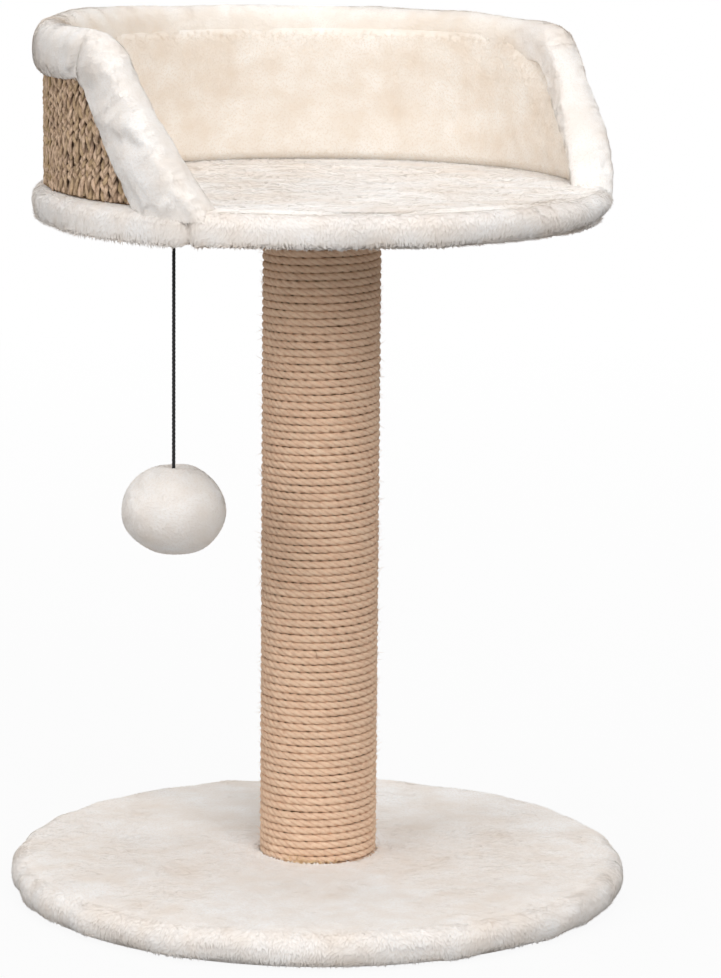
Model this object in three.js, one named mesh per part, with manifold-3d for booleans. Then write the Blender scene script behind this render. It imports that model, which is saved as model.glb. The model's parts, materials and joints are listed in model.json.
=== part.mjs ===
// A cat scratching post with a nest on top, in millimetres, +Z up.
//
// A round plush-covered base carries a paper tube wound with jute rope. A bolt through the base
// and a stud under the nest hold the tube at its two wooden plugs. The nest is a plush-covered
// round seat with a slice of a wide paper tube standing on it as a wall: plush inside, a plaited
// seagrass mat outside, a padded roll over its top edge and a plush binding down each arm. A
// plush ball hangs on a string from a staple under the seat.
//
// The origin is on the floor, on the post's axis. The nest opens towards -Y.

import * as THREE from 'three';
import { mergeVertices } from 'three/addons/utils/BufferGeometryUtils.js';
import Module from 'manifold-3d';

const wasm = await Module();
wasm.setup();

// ---- Driving sizes -------------------------------------------------------------------------

const fit = 0.3; // gap between pieces that touch

// Base: chipboard disc in plush, with a felt liner underneath
const baseBoardRadius = 200;
const baseBoardThickness = 15;
const basePileTop = 7.4; // plush over the board
const basePileEdge = 10; // plush round the rim
const baseHem = 2; // plush turned under the board
const baseHemWidth = 30;
const linerMargin = 6; // from the counterbore to the liner's hole
const crushedPile = 2.6; // plush squeezed under the post's foot

// Post: paper tube, a wooden plug in each end, rope round it
const tubeRadius = 35;
const tubeWall = 5;
const postLength = 443.9;
const plugThickness = 18;
const ropeDiameter = 5;
const ropePitch = 5.1; // rise of one turn
const ropeGroove = 2; // depth of the groove between two turns

// Fastenings of the post
const boltRadius = 4;
const boltLength = 35;
const boltHeadRadius = 7;
const boltHeadHeight = 5;
const boltSocket = 3; // half the width across the corners of the hexagonal socket
const headBevel = 0.6;
const threadBevel = 1; // on the ends of the bolt and the stud
const washerRadius = 12;
const washerThickness = 1.5;
const counterboreRadius = 14;
const counterboreDepth = 8;
const nutFlangeRadius = 11;
const nutFlangeThickness = 1.5;
const nutBarrelRadius = 5;
const nutBarrelLength = 9;
const nutProngLength = 6;
const nutProngRadius = 1.4;
const nutRim = 0.4; // flange outside its prongs
const studLength = 40;
const nailShankRadius = 1;
const nailHeadRadius = 2.6;
const nailHeadThickness = 0.8;
const nailLength = 20;
const nailsPerPlug = 3;

// Seat: round board in plush, with a thin liner underneath
const seatBoardRadius = 186;
const seatBoardThickness = 12;
const seatPileTop = 5.7;
const seatPileEdge = 9;
const seatRimRound = 10; // how far the rounding of the rim goes in
const seatHem = 5.7;
const seatHemWidth = 36;
const seatLiner = 1;

// Wall of the nest, from the inside outwards: lining, core, mat
const wallCoreInset = 8.5; // from the seat board's edge in to the middle of the core
const wallCoreThickness = 8;
const liningThickness = 4.9;
const matThickness = 4.2;
const wallHeight = 90; // of the lining and mat, above the seat's plush
const pileUnderWall = 2; // plush squeezed under the core
const armLength = 90; // from the axis forward to the arms' ends, at the seat
const armSlant = 53; // degrees between an arm's front edge and the seat

// Padded roll over the wall's top edge, and the bindings down the arms
const rollWidth = 31;
const rollHeight = 39;
const rollRise = 17; // top of the roll above the top of the mat
const noseLength = 10; // padding in front of the wall's edge
const rollTipRound = 17;
const rollSquareness = 2.3; // of the roll's section: 2 is an ellipse, higher is squarer
const bindingThickness = 29;
const bindingWrap = 26; // width of the binding behind the wall's edge
const bindingTuck = 12; // how far its top goes up under the roll
const bindingFoot = 10; // how far its foot goes down over the seat's rim
const bindingNarrowing = 0.16; // share of the thickness that it loses under the roll
const bindingSquareness = 2.6;

// Screws up through the seat board into the wall's core
const screwRadius = 1.75;
const screwLength = 34;
const screwHeadRadius = 3.6;
const screwHeadHeight = 3;
const screwBearings = [0, 50, -50, 100, -100]; // degrees round from the back

// Toy: staple, string and ball
const toyInset = 46; // from the seat board's edge in to the staple
const toyBearing = -104; // degrees round from the back
const stapleWire = 1.4; // thickness of the staple's wire
const stapleWidth = 10;
const stapleDepth = 6; // how far the legs go into the seat board
const stringDiameter = 2.5;
const stringLength = 174; // from the upper knot to the middle of the ball
const topKnotRadius = 3;
const ballKnotRadius = 4;
const ballWidth = 67;
const ballHeight = 58;
const ballDimple = 3;
const dimpleRadius = 7;

// Facets
const wideFacets = 48; // round the base, the seat and the wall
const postFacets = 32;
const smallFacets = 16; // bolts, nuts and washers
const pinFacets = 8; // nails, screws, the staple and the string
const ropeFacets = 18; // steps in one turn of the rope
const ballFacets = 20;
const softFacets = 16; // round the section of the roll and the bindings
const rimSteps = 6; // in the profile of a plush rim
const margin = 5; // by which a cutting solid reaches past what it cuts

// ---- Heights and radii that follow from them -----------------------------------------------

const baseBoardLow = baseHem + fit;
const baseBoardHigh = baseBoardLow + baseBoardThickness;
const baseTop = baseBoardHigh + fit + basePileTop;
const baseRadius = baseBoardRadius + basePileEdge;
const postLow = baseBoardHigh + fit + crushedPile + fit;
const postHigh = postLow + postLength;
const ropeInner = tubeRadius + fit;
const ropeOuter = tubeRadius + ropeDiameter;
const plugRadius = tubeRadius - tubeWall - fit;
const nutBore = boltRadius + fit;

const seatLinerLow = postHigh + fit;
const seatBoardLow = seatLinerLow + seatLiner + fit;
const seatBoardHigh = seatBoardLow + seatBoardThickness;
const seatLow = seatBoardLow - fit - seatHem;
const seatTop = seatBoardHigh + fit + seatPileTop;
const seatRadius = seatBoardRadius + seatPileEdge;

const wallCoreRadius = seatBoardRadius - wallCoreInset; // to the middle of the core
const coreInner = wallCoreRadius - wallCoreThickness / 2;
const coreOuter = wallCoreRadius + wallCoreThickness / 2;
const liningOuter = coreInner - fit;
const liningInner = liningOuter - liningThickness;
const matInner = coreOuter + fit;
const matOuter = matInner + matThickness;
const coreLow = seatBoardHigh + fit + pileUnderWall + fit;
const wallLow = seatTop + fit;
const wallHigh = wallLow + wallHeight;
const edgeRadius = (liningInner + matOuter) / 2; // middle of the wall's whole thickness

const rollTop = wallHigh + rollRise;
const rollMiddle = rollTop - rollHeight / 2;
const slant = THREE.MathUtils.degToRad(armSlant);

const toyRadius = seatBoardRadius - toyInset; // from the post's axis
const crownRadius = stapleWire / 2;
const stringRadius = stringDiameter / 2;
const loopRadius = crownRadius + fit + stringRadius;
const crownHeight = seatLinerLow - fit - stringRadius - loopRadius;
const topKnotHeight = crownHeight - loopRadius - topKnotRadius + stringRadius / 2;
const ballMiddle = topKnotHeight - stringLength;

// ---- Materials -----------------------------------------------------------------------------

const paint = (color, roughness, metalness = 0) =>
  new THREE.MeshStandardMaterial({ color, roughness, metalness });
const chipboard = paint(0xc9a877, 0.85);
const creamPlush = paint(0xefe8df, 1);
const beigePlush = paint(0xe9dcc8, 1);
const felt = paint(0xd9d6cf, 0.95);
const paperTube = paint(0xa98763, 0.9);
const jute = paint(0xb98f68, 0.9);
const softwood = paint(0xdcc093, 0.75);
const zincSteel = paint(0xb7bbc0, 0.35, 0.9);
const seagrass = paint(0xa2845c, 0.85);
const blackString = paint(0x141414, 0.7);

// ---- Tools for solids ----------------------------------------------------------------------

// One closed body from a geometry: corners merged, empty triangles out, faces outwards.
function closed(geometry) {
  const bare = geometry.clone();
  bare.deleteAttribute('normal');
  bare.deleteAttribute('uv');
  const merged = mergeVertices(bare, 1e-4);
  const corner = merged.getAttribute('position');
  const source = merged.index.array;
  const kept = [];
  let volume = 0;
  const a = new THREE.Vector3();
  const b = new THREE.Vector3();
  const c = new THREE.Vector3();
  for (let i = 0; i < source.length; i += 3) {
    const [p, q, r] = source.slice(i, i + 3);
    if (p === q || q === r || r === p) continue;
    kept.push(p, q, r);
    a.fromBufferAttribute(corner, p);
    b.fromBufferAttribute(corner, q);
    c.fromBufferAttribute(corner, r);
    volume += a.dot(b.cross(c));
  }
  if (volume < 0) kept.reverse();
  merged.setIndex(kept);
  return merged;
}

function toSolid(geometry) {
  const mesh = closed(geometry);
  return new wasm.Manifold(new wasm.Mesh({
    numProp: 3,
    vertProperties: new Float32Array(mesh.getAttribute('position').array),
    triVerts: new Uint32Array(mesh.index.array),
  }));
}

function toGeometry(solid) {
  const mesh = solid.getMesh();
  const geometry = new THREE.BufferGeometry();
  geometry.setAttribute('position', new THREE.BufferAttribute(mesh.vertProperties, 3));
  geometry.setIndex(new THREE.BufferAttribute(mesh.triVerts, 1));
  return geometry;
}

function cut(geometry, ...tools) {
  return toGeometry(tools.reduce((body, tool) => body.subtract(toSolid(tool)), toSolid(geometry)));
}

function join(geometry, ...others) {
  return toGeometry(others.reduce((body, other) => body.add(toSolid(other)), toSolid(geometry)));
}

// A profile of [radius, height] points turned round the Z axis. It closes on itself, or starts
// and ends on the axis.
function turn(profile, facets) {
  const points = profile.map(([radius, height]) => new THREE.Vector2(radius, height));
  if (profile[0][0] > 0) points.push(points[0].clone());
  return closed(new THREE.LatheGeometry(points, facets).rotateX(Math.PI / 2));
}

const disc = (radius, low, high, facets = smallFacets) =>
  turn([[0, low], [radius, low], [radius, high], [0, high]], facets);

const ring = (inner, outer, low, high, facets = smallFacets) =>
  turn([[inner, low], [outer, low], [outer, high], [inner, high]], facets);

// Points of an ellipse's arc, for a profile. Angles are in degrees.
function arc(middle, halfSize, from, to, steps) {
  return Array.from({ length: steps + 1 }, (_, i) => {
    const angle = THREE.MathUtils.degToRad(from + ((to - from) * i) / steps);
    return [middle[0] + halfSize[0] * Math.cos(angle), middle[1] + halfSize[1] * Math.sin(angle)];
  });
}

// A skin through a row of closed rings of points, each end closed round its middle.
function loft(rings) {
  const count = rings[0].length;
  const points = rings.flat();
  const triangles = [];
  for (let row = 0; row < rings.length - 1; row += 1) {
    for (let i = 0; i < count; i += 1) {
      const next = (i + 1) % count;
      const here = row * count;
      const there = here + count;
      triangles.push(here + i, here + next, there + next, here + i, there + next, there + i);
    }
  }
  const middle = (row) => row.reduce((sum, p) => sum.add(p), new THREE.Vector3()).divideScalar(count);
  const last = (rings.length - 1) * count;
  points.push(middle(rings[0]), middle(rings[rings.length - 1]));
  for (let i = 0; i < count; i += 1) {
    const next = (i + 1) % count;
    triangles.push(points.length - 2, next, i, points.length - 1, last + i, last + next);
  }
  const geometry = new THREE.BufferGeometry().setFromPoints(points);
  geometry.setIndex(triangles);
  return closed(geometry);
}

// Points of a rounded oblong: between an ellipse (2) and a rectangle (higher values).
function oblong(halfLength, halfWidth, squareness, count) {
  return Array.from({ length: count }, (_, i) => {
    const angle = (2 * Math.PI * i) / count;
    const along = (value) => Math.sign(value) * Math.abs(value) ** (2 / squareness);
    return [halfLength * along(Math.cos(angle)), halfWidth * along(Math.sin(angle))];
  });
}

// A point on the nest: its radius, its bearing in radians round from the back towards +X, and
// its height.
const onNest = (radius, bearing, height) =>
  new THREE.Vector3(radius * Math.sin(bearing), radius * Math.cos(bearing), height);

const group = new THREE.Group();

function add(name, geometry, material, parent = group) {
  const mesh = new THREE.Mesh(geometry, material);
  mesh.name = name;
  parent.add(mesh);
  return mesh;
}

// ---- Fastenings ----------------------------------------------------------------------------

// A nut pressed into wood: flange at height 0, barrel and four prongs pointing up.
function prongedNut(gap = 0) {
  const barrel = turn([
    [gap ? 0 : nutBore, -nutFlangeThickness],
    [nutFlangeRadius + gap, -nutFlangeThickness],
    [nutFlangeRadius + gap, gap],
    [nutBarrelRadius + gap, gap],
    [nutBarrelRadius + gap, nutBarrelLength + gap],
    [gap ? 0 : nutBore, nutBarrelLength + gap],
  ], smallFacets);
  const prongReach = nutFlangeRadius - nutProngRadius - nutRim;
  const prongs = [0, 1, 2, 3].map((quarter) => {
    const root = nutFlangeThickness / 2;
    const height = nutProngLength + root + gap;
    const prong = new THREE.ConeGeometry(nutProngRadius + gap, height, 4);
    prong.rotateX(Math.PI / 2).translate(prongReach, 0, height / 2 - root);
    return prong.rotateZ((quarter * Math.PI) / 2);
  });
  return join(barrel, ...prongs);
}

const lowerNutHeight = postLow + plugThickness;
const upperPlugLow = postHigh - plugThickness;
const lowerNut = (gap) => prongedNut(gap).rotateX(Math.PI).translate(0, 0, lowerNutHeight);
const upperNut = (gap) => prongedNut(gap).translate(0, 0, upperPlugLow);
const seatNutHeight = seatBoardHigh - nutFlangeThickness;
const seatNut = (gap) => prongedNut(gap).rotateX(Math.PI).translate(0, 0, seatNutHeight);

// A nail along the X axis, its head's outer face at the tube's outer face.
function plugNail(bearing, height, gap = 0) {
  const shank = nailShankRadius + gap;
  const head = nailHeadRadius + gap;
  const nail = turn([
    [0, gap],
    [head, gap],
    [head, -nailHeadThickness - gap],
    [shank, -nailHeadThickness - gap],
    [shank, -nailLength + 2 * shank],
    [0, -nailLength - gap],
  ], pinFacets);
  nail.rotateY(Math.PI / 2).translate(tubeRadius * Math.cos(Math.PI / postFacets), 0, height);
  return nail.rotateZ(bearing);
}

const nailBearings = Array.from({ length: nailsPerPlug }, (_, i) =>
  (Math.PI * (4 * i + 1)) / (2 * nailsPerPlug));
const nailHeights = [postLow + plugThickness / 2, postHigh - plugThickness / 2];
const nailHoles = nailHeights.map((height) =>
  nailBearings.map((bearing) => plugNail(bearing, height, fit)));

// A countersunk screw standing up from the seat board's underside.
function wallScrew(bearing, gap = 0) {
  const shank = screwRadius + gap;
  const profile = [
    [0, seatBoardLow - gap],
    [screwHeadRadius + gap, seatBoardLow - gap],
    [shank, seatBoardLow + screwHeadHeight],
    [shank, seatBoardLow + screwLength - 4 * screwRadius],
    [0, seatBoardLow + screwLength + gap],
  ];
  const place = onNest(wallCoreRadius, THREE.MathUtils.degToRad(bearing), 0);
  return turn(profile, pinFacets).translate(place.x, place.y, 0);
}

const screwHoles = screwBearings.map((bearing) => wallScrew(bearing, fit));

// ---- Base ----------------------------------------------------------------------------------

const counterboreHigh = baseBoardLow + counterboreDepth;

add('base_board', turn([
  [counterboreRadius, baseBoardLow],
  [baseBoardRadius, baseBoardLow],
  [baseBoardRadius, baseBoardHigh],
  [boltRadius + fit, baseBoardHigh],
  [boltRadius + fit, counterboreHigh],
  [counterboreRadius, counterboreHigh],
], wideFacets), chipboard);

// One cover: over the top, dented where the post stands, round the rim and turned under.
add('base_plush', turn([
  [baseBoardRadius - baseHemWidth, 0],
  ...arc([baseBoardRadius, baseTop / 2], [basePileEdge, baseTop / 2], -90, 90, rimSteps),
  [ropeOuter + fit, baseTop],
  [ropeOuter + fit, postLow - fit],
  [boltRadius + fit, postLow - fit],
  [boltRadius + fit, baseBoardHigh + fit],
  [baseBoardRadius + fit, baseBoardHigh + fit],
  [baseBoardRadius + fit, baseHem],
  [baseBoardRadius - baseHemWidth, baseHem],
], wideFacets), creamPlush);

const linerHole = counterboreRadius + linerMargin;
add('base_liner', ring(linerHole, baseBoardRadius - baseHemWidth - fit, 0, baseHem, wideFacets), felt);

const washerLow = counterboreHigh - fit - washerThickness;
const boltHeadHigh = washerLow - fit;
const boltHeadLow = boltHeadHigh - boltHeadHeight;
add('base_washer', ring(boltRadius + fit, washerRadius, washerLow, washerLow + washerThickness), zincSteel);

const baseBolt = turn([
  [0, boltHeadLow],
  [boltHeadRadius - headBevel, boltHeadLow],
  [boltHeadRadius, boltHeadLow + headBevel],
  [boltHeadRadius, boltHeadHigh],
  [boltRadius, boltHeadHigh],
  [boltRadius, boltHeadHigh + boltLength - threadBevel],
  [boltRadius - threadBevel, boltHeadHigh + boltLength],
  [0, boltHeadHigh + boltLength],
], smallFacets);
const hexSocket = new THREE.CylinderGeometry(boltSocket, boltSocket, boltHeadHeight, 6)
  .rotateX(Math.PI / 2).translate(0, 0, boltHeadLow);
add('base_bolt', cut(baseBolt, hexSocket), zincSteel);

// ---- Post ----------------------------------------------------------------------------------

const tube = ring(tubeRadius - tubeWall, tubeRadius, postLow, postHigh, postFacets);
add('post_tube', cut(tube, ...nailHoles.flat()), paperTube);

const plugHole = (low, high) => disc(boltRadius + fit, low - margin, high + margin);
const lowerPlug = disc(plugRadius, postLow, postLow + plugThickness, postFacets);
const upperPlug = disc(plugRadius, upperPlugLow, postHigh, postFacets);
const lowerPlugHole = plugHole(postLow, postLow + plugThickness);
const upperPlugHole = plugHole(upperPlugLow, postHigh);
add('lower_plug', cut(lowerPlug, lowerPlugHole, lowerNut(fit), ...nailHoles[0]), softwood);
add('upper_plug', cut(upperPlug, upperPlugHole, upperNut(fit), ...nailHoles[1]), softwood);
add('lower_plug_nut', lowerNut(0).translate(0, 0, fit), zincSteel);
add('upper_plug_nut', upperNut(0).translate(0, 0, -fit), zincSteel);

nailHeights.forEach((height, end) => nailBearings.forEach((bearing, i) => {
  add(`${end ? 'upper' : 'lower'}_plug_nail_${i + 1}`, plugNail(bearing, height), zincSteel);
}));

// The rope's turns lie against each other, so the winding is one unbroken ridge that climbs the
// post by a pitch a turn, with its crest and its groove as the two lines of points. It starts
// and stops a turn outside the post's ends and is cut flat there.
function windRope() {
  const turns = Math.ceil(postLength / ropePitch) + 2;
  const steps = turns * ropeFacets;
  const start = postLow - ropePitch;
  const lowEnd = start - ropePitch;
  const highEnd = start + (turns + 2) * ropePitch;
  const points = [];
  const at = (radius, step, height) => {
    const angle = (2 * Math.PI * step) / ropeFacets;
    points.push(new THREE.Vector3(radius * Math.cos(angle), radius * Math.sin(angle), height));
  };
  for (let step = 0; step <= steps; step += 1) {
    const height = start + (ropePitch * step) / ropeFacets;
    at(ropeOuter, step, height);
    at(ropeOuter - ropeGroove, step, height + ropePitch / 2);
  }
  const crest = (step) => 2 * step;
  const groove = (step) => 2 * step + 1;
  const boreRadius = ropeInner / Math.cos(Math.PI / ropeFacets);
  const firstRing = points.length;
  [[ropeOuter, lowEnd], [boreRadius, lowEnd], [ropeOuter, highEnd], [boreRadius, highEnd]]
    .forEach(([radius, height]) => {
      for (let step = 0; step < ropeFacets; step += 1) at(radius, step, height);
    });
  const ringPoint = (row) => (step) => firstRing + row * ropeFacets + (step % ropeFacets);
  const [lowOuter, lowInner, highOuter, highInner] = [0, 1, 2, 3].map(ringPoint);

  const triangles = [];
  const strip = (lower, upper, count) => {
    for (let i = 0; i < count; i += 1) {
      triangles.push(lower(i), lower(i + 1), upper(i + 1), lower(i), upper(i + 1), upper(i));
    }
  };
  const lastTurn = steps - ropeFacets;
  strip(crest, groove, steps);
  strip(groove, (i) => crest(i + ropeFacets), lastTurn);
  strip(lowOuter, crest, ropeFacets);
  strip((i) => groove(lastTurn + i), highOuter, ropeFacets);
  strip(highOuter, highInner, ropeFacets);
  strip(highInner, lowInner, ropeFacets);
  strip(lowInner, lowOuter, ropeFacets);
  triangles.push(lowOuter(0), crest(0), groove(0), lowOuter(0), groove(0), crest(ropeFacets));
  triangles.push(groove(lastTurn), highOuter(0), groove(steps));
  triangles.push(groove(lastTurn), groove(steps), crest(steps));

  const geometry = new THREE.BufferGeometry().setFromPoints(points);
  geometry.setIndex(triangles);
  const outside = ropeOuter + margin;
  return cut(
    geometry,
    disc(outside, lowEnd - margin, postLow),
    disc(outside, postHigh, highEnd + margin),
  );
}

add('post_rope', windRope(), jute);
console.log(`rope: ${(postLength / ropePitch).toFixed(1)} turns that lie against each other`);

// ---- Seat ----------------------------------------------------------------------------------

const studLow = seatNutHeight - studLength;
add('seat_stud', turn([
  [0, studLow],
  [boltRadius - threadBevel, studLow],
  [boltRadius, studLow + threadBevel],
  [boltRadius, seatNutHeight - threadBevel],
  [boltRadius - threadBevel, seatNutHeight],
  [0, seatNutHeight],
], smallFacets), zincSteel);
add('seat_nut', seatNut(0), zincSteel);

const seatMiddle = (seatLow + seatTop) / 2;
const seatRim = (gap) => arc(
  [seatRadius - seatRimRound, seatMiddle],
  [seatRimRound + gap, (seatTop - seatLow) / 2 + gap],
  -90, 90, rimSteps,
);

// The wall's front edge is cut on a slanted plane. This gives its Y at a height, and the same
// for a plane a distance in front of it.
const edgeY = (height, ahead = 0) =>
  -armLength + (height - seatTop) / Math.tan(slant) - ahead / Math.sin(slant);

// Everything in front of that plane.
function frontBlock(ahead) {
  const low = seatLow - margin;
  const high = rollTop + margin;
  const far = -2 * seatRadius;
  const side = new THREE.Shape([
    new THREE.Vector2(edgeY(low, ahead), low),
    new THREE.Vector2(far, low),
    new THREE.Vector2(far, high),
    new THREE.Vector2(edgeY(high, ahead), high),
  ]);
  const block = new THREE.ExtrudeGeometry(side, { depth: 4 * seatRadius, bevelEnabled: false });
  block.translate(0, 0, -2 * seatRadius);
  return block.applyMatrix4(new THREE.Matrix4().makeBasis(
    new THREE.Vector3(0, 1, 0), new THREE.Vector3(0, 0, 1), new THREE.Vector3(1, 0, 0),
  ));
}

// A slice of a tube that stands on the seat, cut on the slant.
const wallSlice = (inner, outer, low, high, ahead = 0) =>
  cut(ring(inner, outer, low, high, wideFacets), frontBlock(ahead));

const grooveHigh = seatTop + margin;
const coreGroove = wallSlice(coreInner - fit, coreOuter + fit, coreLow - fit, grooveHigh, fit);

// The staple's frame: its X axis points away from the post, its Z axis runs down the string.
const toyPlace = onNest(toyRadius, THREE.MathUtils.degToRad(toyBearing), 0);
const toyTurn = Math.atan2(toyPlace.y, toyPlace.x);
const onToy = (geometry) => geometry.rotateZ(toyTurn).translate(toyPlace.x, toyPlace.y, 0);

function stapleLegs(gap) {
  const high = seatBoardLow + stapleDepth + gap;
  return [-1, 1].map((side) => disc(crownRadius + gap, crownHeight, high, pinFacets)
    .translate(0, side * (stapleWidth / 2 - crownRadius), 0));
}
const stapleHoles = stapleLegs(fit).map(onToy);

const seatBoard = disc(seatBoardRadius, seatBoardLow, seatBoardHigh, wideFacets);
const studHole = disc(boltRadius + fit, seatBoardLow - margin, seatBoardHigh + margin);
add('seat_board', cut(seatBoard, studHole, seatNut(fit), ...screwHoles, ...stapleHoles), chipboard);

const seatPlush = turn([
  [seatBoardRadius - seatHemWidth, seatLow],
  ...seatRim(0),
  [0, seatTop],
  [0, seatBoardHigh + fit],
  [seatBoardRadius + fit, seatBoardHigh + fit],
  [seatBoardRadius + fit, seatBoardLow - fit],
  [seatBoardRadius - seatHemWidth, seatBoardLow - fit],
], wideFacets);
add('seat_plush', cut(seatPlush, coreGroove, ...screwHoles), creamPlush);

const seatLinerRing = ring(
  boltRadius + fit,
  seatBoardRadius - seatHemWidth - fit,
  seatLinerLow,
  seatLinerLow + seatLiner,
  wideFacets,
);
add('seat_liner', cut(seatLinerRing, ...stapleHoles), felt);

// ---- Wall of the nest ----------------------------------------------------------------------

const core = wallSlice(coreInner, coreOuter, coreLow, wallHigh);
add('wall_core', cut(core, ...screwHoles), paperTube);
add('wall_lining', wallSlice(liningInner, liningOuter, wallLow, wallHigh), beigePlush);
add('seagrass_mat', wallSlice(matInner, matOuter, wallLow, wallHigh), seagrass);
screwBearings.forEach((bearing, i) => add(`wall_screw_${i + 1}`, wallScrew(bearing), zincSteel));

// What the roll and the bindings are folded over.
const foldedOver = wallSlice(liningInner - fit, matOuter + fit, seatLow, wallHigh + fit, fit);

// Bearing, round from the back, of a slanted plane where it meets a radius at a height.
const edgeBearing = (radius, height, ahead) => Math.acos(edgeY(height, ahead) / radius);

// The roll is lofted round the wall. Its ends lie on the slant and are rounded like its section.
function rollSkin(gap) {
  const halfWidth = rollWidth / 2 + gap;
  const section = oblong(halfWidth, rollHeight / 2 + gap, rollSquareness, softFacets);
  const reach = noseLength + gap;
  const tipSteps = 4;
  const backSteps = 20;
  const halfLength = edgeRadius * edgeBearing(edgeRadius, rollMiddle, reach);
  const tips = Array.from({ length: tipSteps }, (_, i) => {
    const angle = ((i + 1) * Math.PI) / (2 * (tipSteps + 1));
    const share = 1 - (rollTipRound * (1 - Math.cos(angle))) / halfLength;
    return [share, Math.sin(angle) ** (2 / rollSquareness)];
  });
  const straight = 1 - rollTipRound / halfLength;
  const back = Array.from({ length: backSteps + 1 }, (_, i) =>
    [straight * (1 - (2 * i) / backSteps), 1]);
  const stations = [
    ...tips,
    ...back,
    ...tips.map(([share, scale]) => [-share, scale]).reverse(),
  ];
  return loft(stations.map(([share, scale]) => section.map(([across, up]) => {
    const height = rollMiddle + scale * up;
    const bearing = share * edgeBearing(edgeRadius, height, reach);
    return onNest(edgeRadius + scale * across, bearing, height);
  })));
}
add('top_roll', cut(rollSkin(0), foldedOver), creamPlush);

// A binding follows an arm's slanted end from the seat up to the roll. Its foot is pressed over
// the seat's rim and its top is tucked under the roll.
const seatShape = turn([[0, seatLow - fit], ...seatRim(fit), [0, seatTop + fit]], wideFacets);
const rollShape = rollSkin(fit);

function armBinding(side) {
  const nose = noseLength / Math.sin(slant);
  const wrap = bindingWrap / Math.sin(slant);
  const halfLength = (nose + wrap) / 2;
  const section = oblong(halfLength, bindingThickness / 2, bindingSquareness, softFacets);
  const footLow = seatTop - bindingFoot;
  const rollLow = rollTop - rollHeight;
  const bareSteps = 5;
  const stations = Array.from({ length: bareSteps + 1 }, (_, i) =>
    [footLow + ((rollLow - footLow) * i) / bareSteps, 1]);
  stations.push([rollLow + bindingTuck, 1 - bindingNarrowing]);
  const rings = stations.map(([height, narrowing]) => {
    const edge = edgeBearing(edgeRadius, height, 0);
    return section.map(([along, across]) => {
      const bearing = edge + (along + (nose - wrap) / 2) / edgeRadius;
      return onNest(edgeRadius + narrowing * across, side * bearing, height);
    });
  });
  return cut(loft(rings), foldedOver, seatShape, rollShape);
}
add('left_arm_binding', armBinding(-1), creamPlush);
add('right_arm_binding', armBinding(1), creamPlush);

// ---- Toy -----------------------------------------------------------------------------------

const toy = new THREE.Group();
toy.position.set(toyPlace.x, toyPlace.y, 0);
toy.rotation.z = toyTurn;
group.add(toy);

const crown = new THREE.CylinderGeometry(crownRadius, crownRadius, stapleWidth, pinFacets)
  .translate(0, 0, crownHeight);
add('toy_staple', join(crown, ...stapleLegs(0)), zincSteel, toy);

// The string's upper end: an eye round the staple's crown, with a knot under it.
const eye = new THREE.TorusGeometry(loopRadius, stringRadius, pinFacets, 12)
  .rotateX(Math.PI / 2).translate(0, 0, crownHeight);
const topKnot = new THREE.SphereGeometry(topKnotRadius, 10, 6)
  .rotateX(Math.PI / 2).translate(0, 0, topKnotHeight);
add('toy_string_eye', join(eye, topKnot), blackString, toy);

// The string hangs straight from the knot into the ball and ends there in a second knot.
const stringHigh = topKnotHeight - topKnotRadius - fit;
const stringLine = new THREE.LineCurve3(
  new THREE.Vector3(0, 0, stringHigh),
  new THREE.Vector3(0, 0, ballMiddle),
);
const stringSection = new THREE.Shape(oblong(stringRadius, stringRadius, 2, pinFacets)
  .map(([x, y]) => new THREE.Vector2(x, y)));
const stringSteps = Math.round(stringLength / (3 * stringDiameter));
const string = new THREE.ExtrudeGeometry(stringSection, {
  steps: stringSteps,
  extrudePath: stringLine,
});
const ballKnot = new THREE.SphereGeometry(ballKnotRadius, 10, 6)
  .rotateX(Math.PI / 2).translate(0, 0, ballMiddle);
add('toy_string', join(string, ballKnot), blackString, toy);

// The ball is wider than it is high and dimpled where the string goes in.
const pocket = ballKnotRadius + fit;
const stringBore = stringRadius + fit;
const boreStart = Math.asin(stringBore / pocket);
const ballSteps = 14;
const ballOutline = Array.from({ length: ballSteps + 1 }, (_, i) => {
  const angle = (Math.PI * i) / ballSteps;
  const radius = (ballWidth / 2) * Math.sin(angle);
  const dimple = angle < Math.PI / 2 ? ballDimple * Math.exp(-((radius / dimpleRadius) ** 2)) : 0;
  return [radius, ballMiddle + (ballHeight / 2) * Math.cos(angle) - dimple];
}).filter(([radius], i) => radius > stringBore || i === ballSteps);
const pocketSteps = 4;
const toyBall = turn([
  ...Array.from({ length: pocketSteps + 1 }, (_, i) => {
    const angle = Math.PI - ((Math.PI - boreStart) * i) / pocketSteps;
    return [pocket * Math.sin(angle), ballMiddle + pocket * Math.cos(angle)];
  }),
  [stringBore, ballMiddle + ballHeight / 2 - ballDimple],
  ...ballOutline,
], ballFacets);
add('toy_ball', toyBall, creamPlush, toy);

export default group;
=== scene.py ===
"""Plush, rope, seagrass and toy of a cat scratching post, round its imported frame. Metres, +Z up.

The nest opens towards -Y. Bearings run round from the back towards +X, as in the frame's source,
but in radians.
"""

import json
import math

import bpy
import numpy as np
from mathutils import Matrix, Vector


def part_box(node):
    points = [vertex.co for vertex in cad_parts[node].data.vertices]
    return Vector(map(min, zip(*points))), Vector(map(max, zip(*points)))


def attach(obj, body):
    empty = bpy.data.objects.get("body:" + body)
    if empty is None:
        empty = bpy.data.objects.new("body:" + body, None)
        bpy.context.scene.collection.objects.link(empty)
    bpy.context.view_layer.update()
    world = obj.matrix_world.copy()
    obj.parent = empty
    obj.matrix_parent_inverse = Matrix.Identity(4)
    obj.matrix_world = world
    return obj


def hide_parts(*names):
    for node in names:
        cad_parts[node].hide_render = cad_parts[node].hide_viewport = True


bl_info = {
    "name": "Cat scratching post",
    "version": (1, 0, 0),
    "blender": (4, 5, 0),
    "location": "3D View > Sidebar > Scratching post",
    "description": "Dresses the packed frame of a scratching post in plush, rope and seagrass",
    "category": "Object",
}

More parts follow.
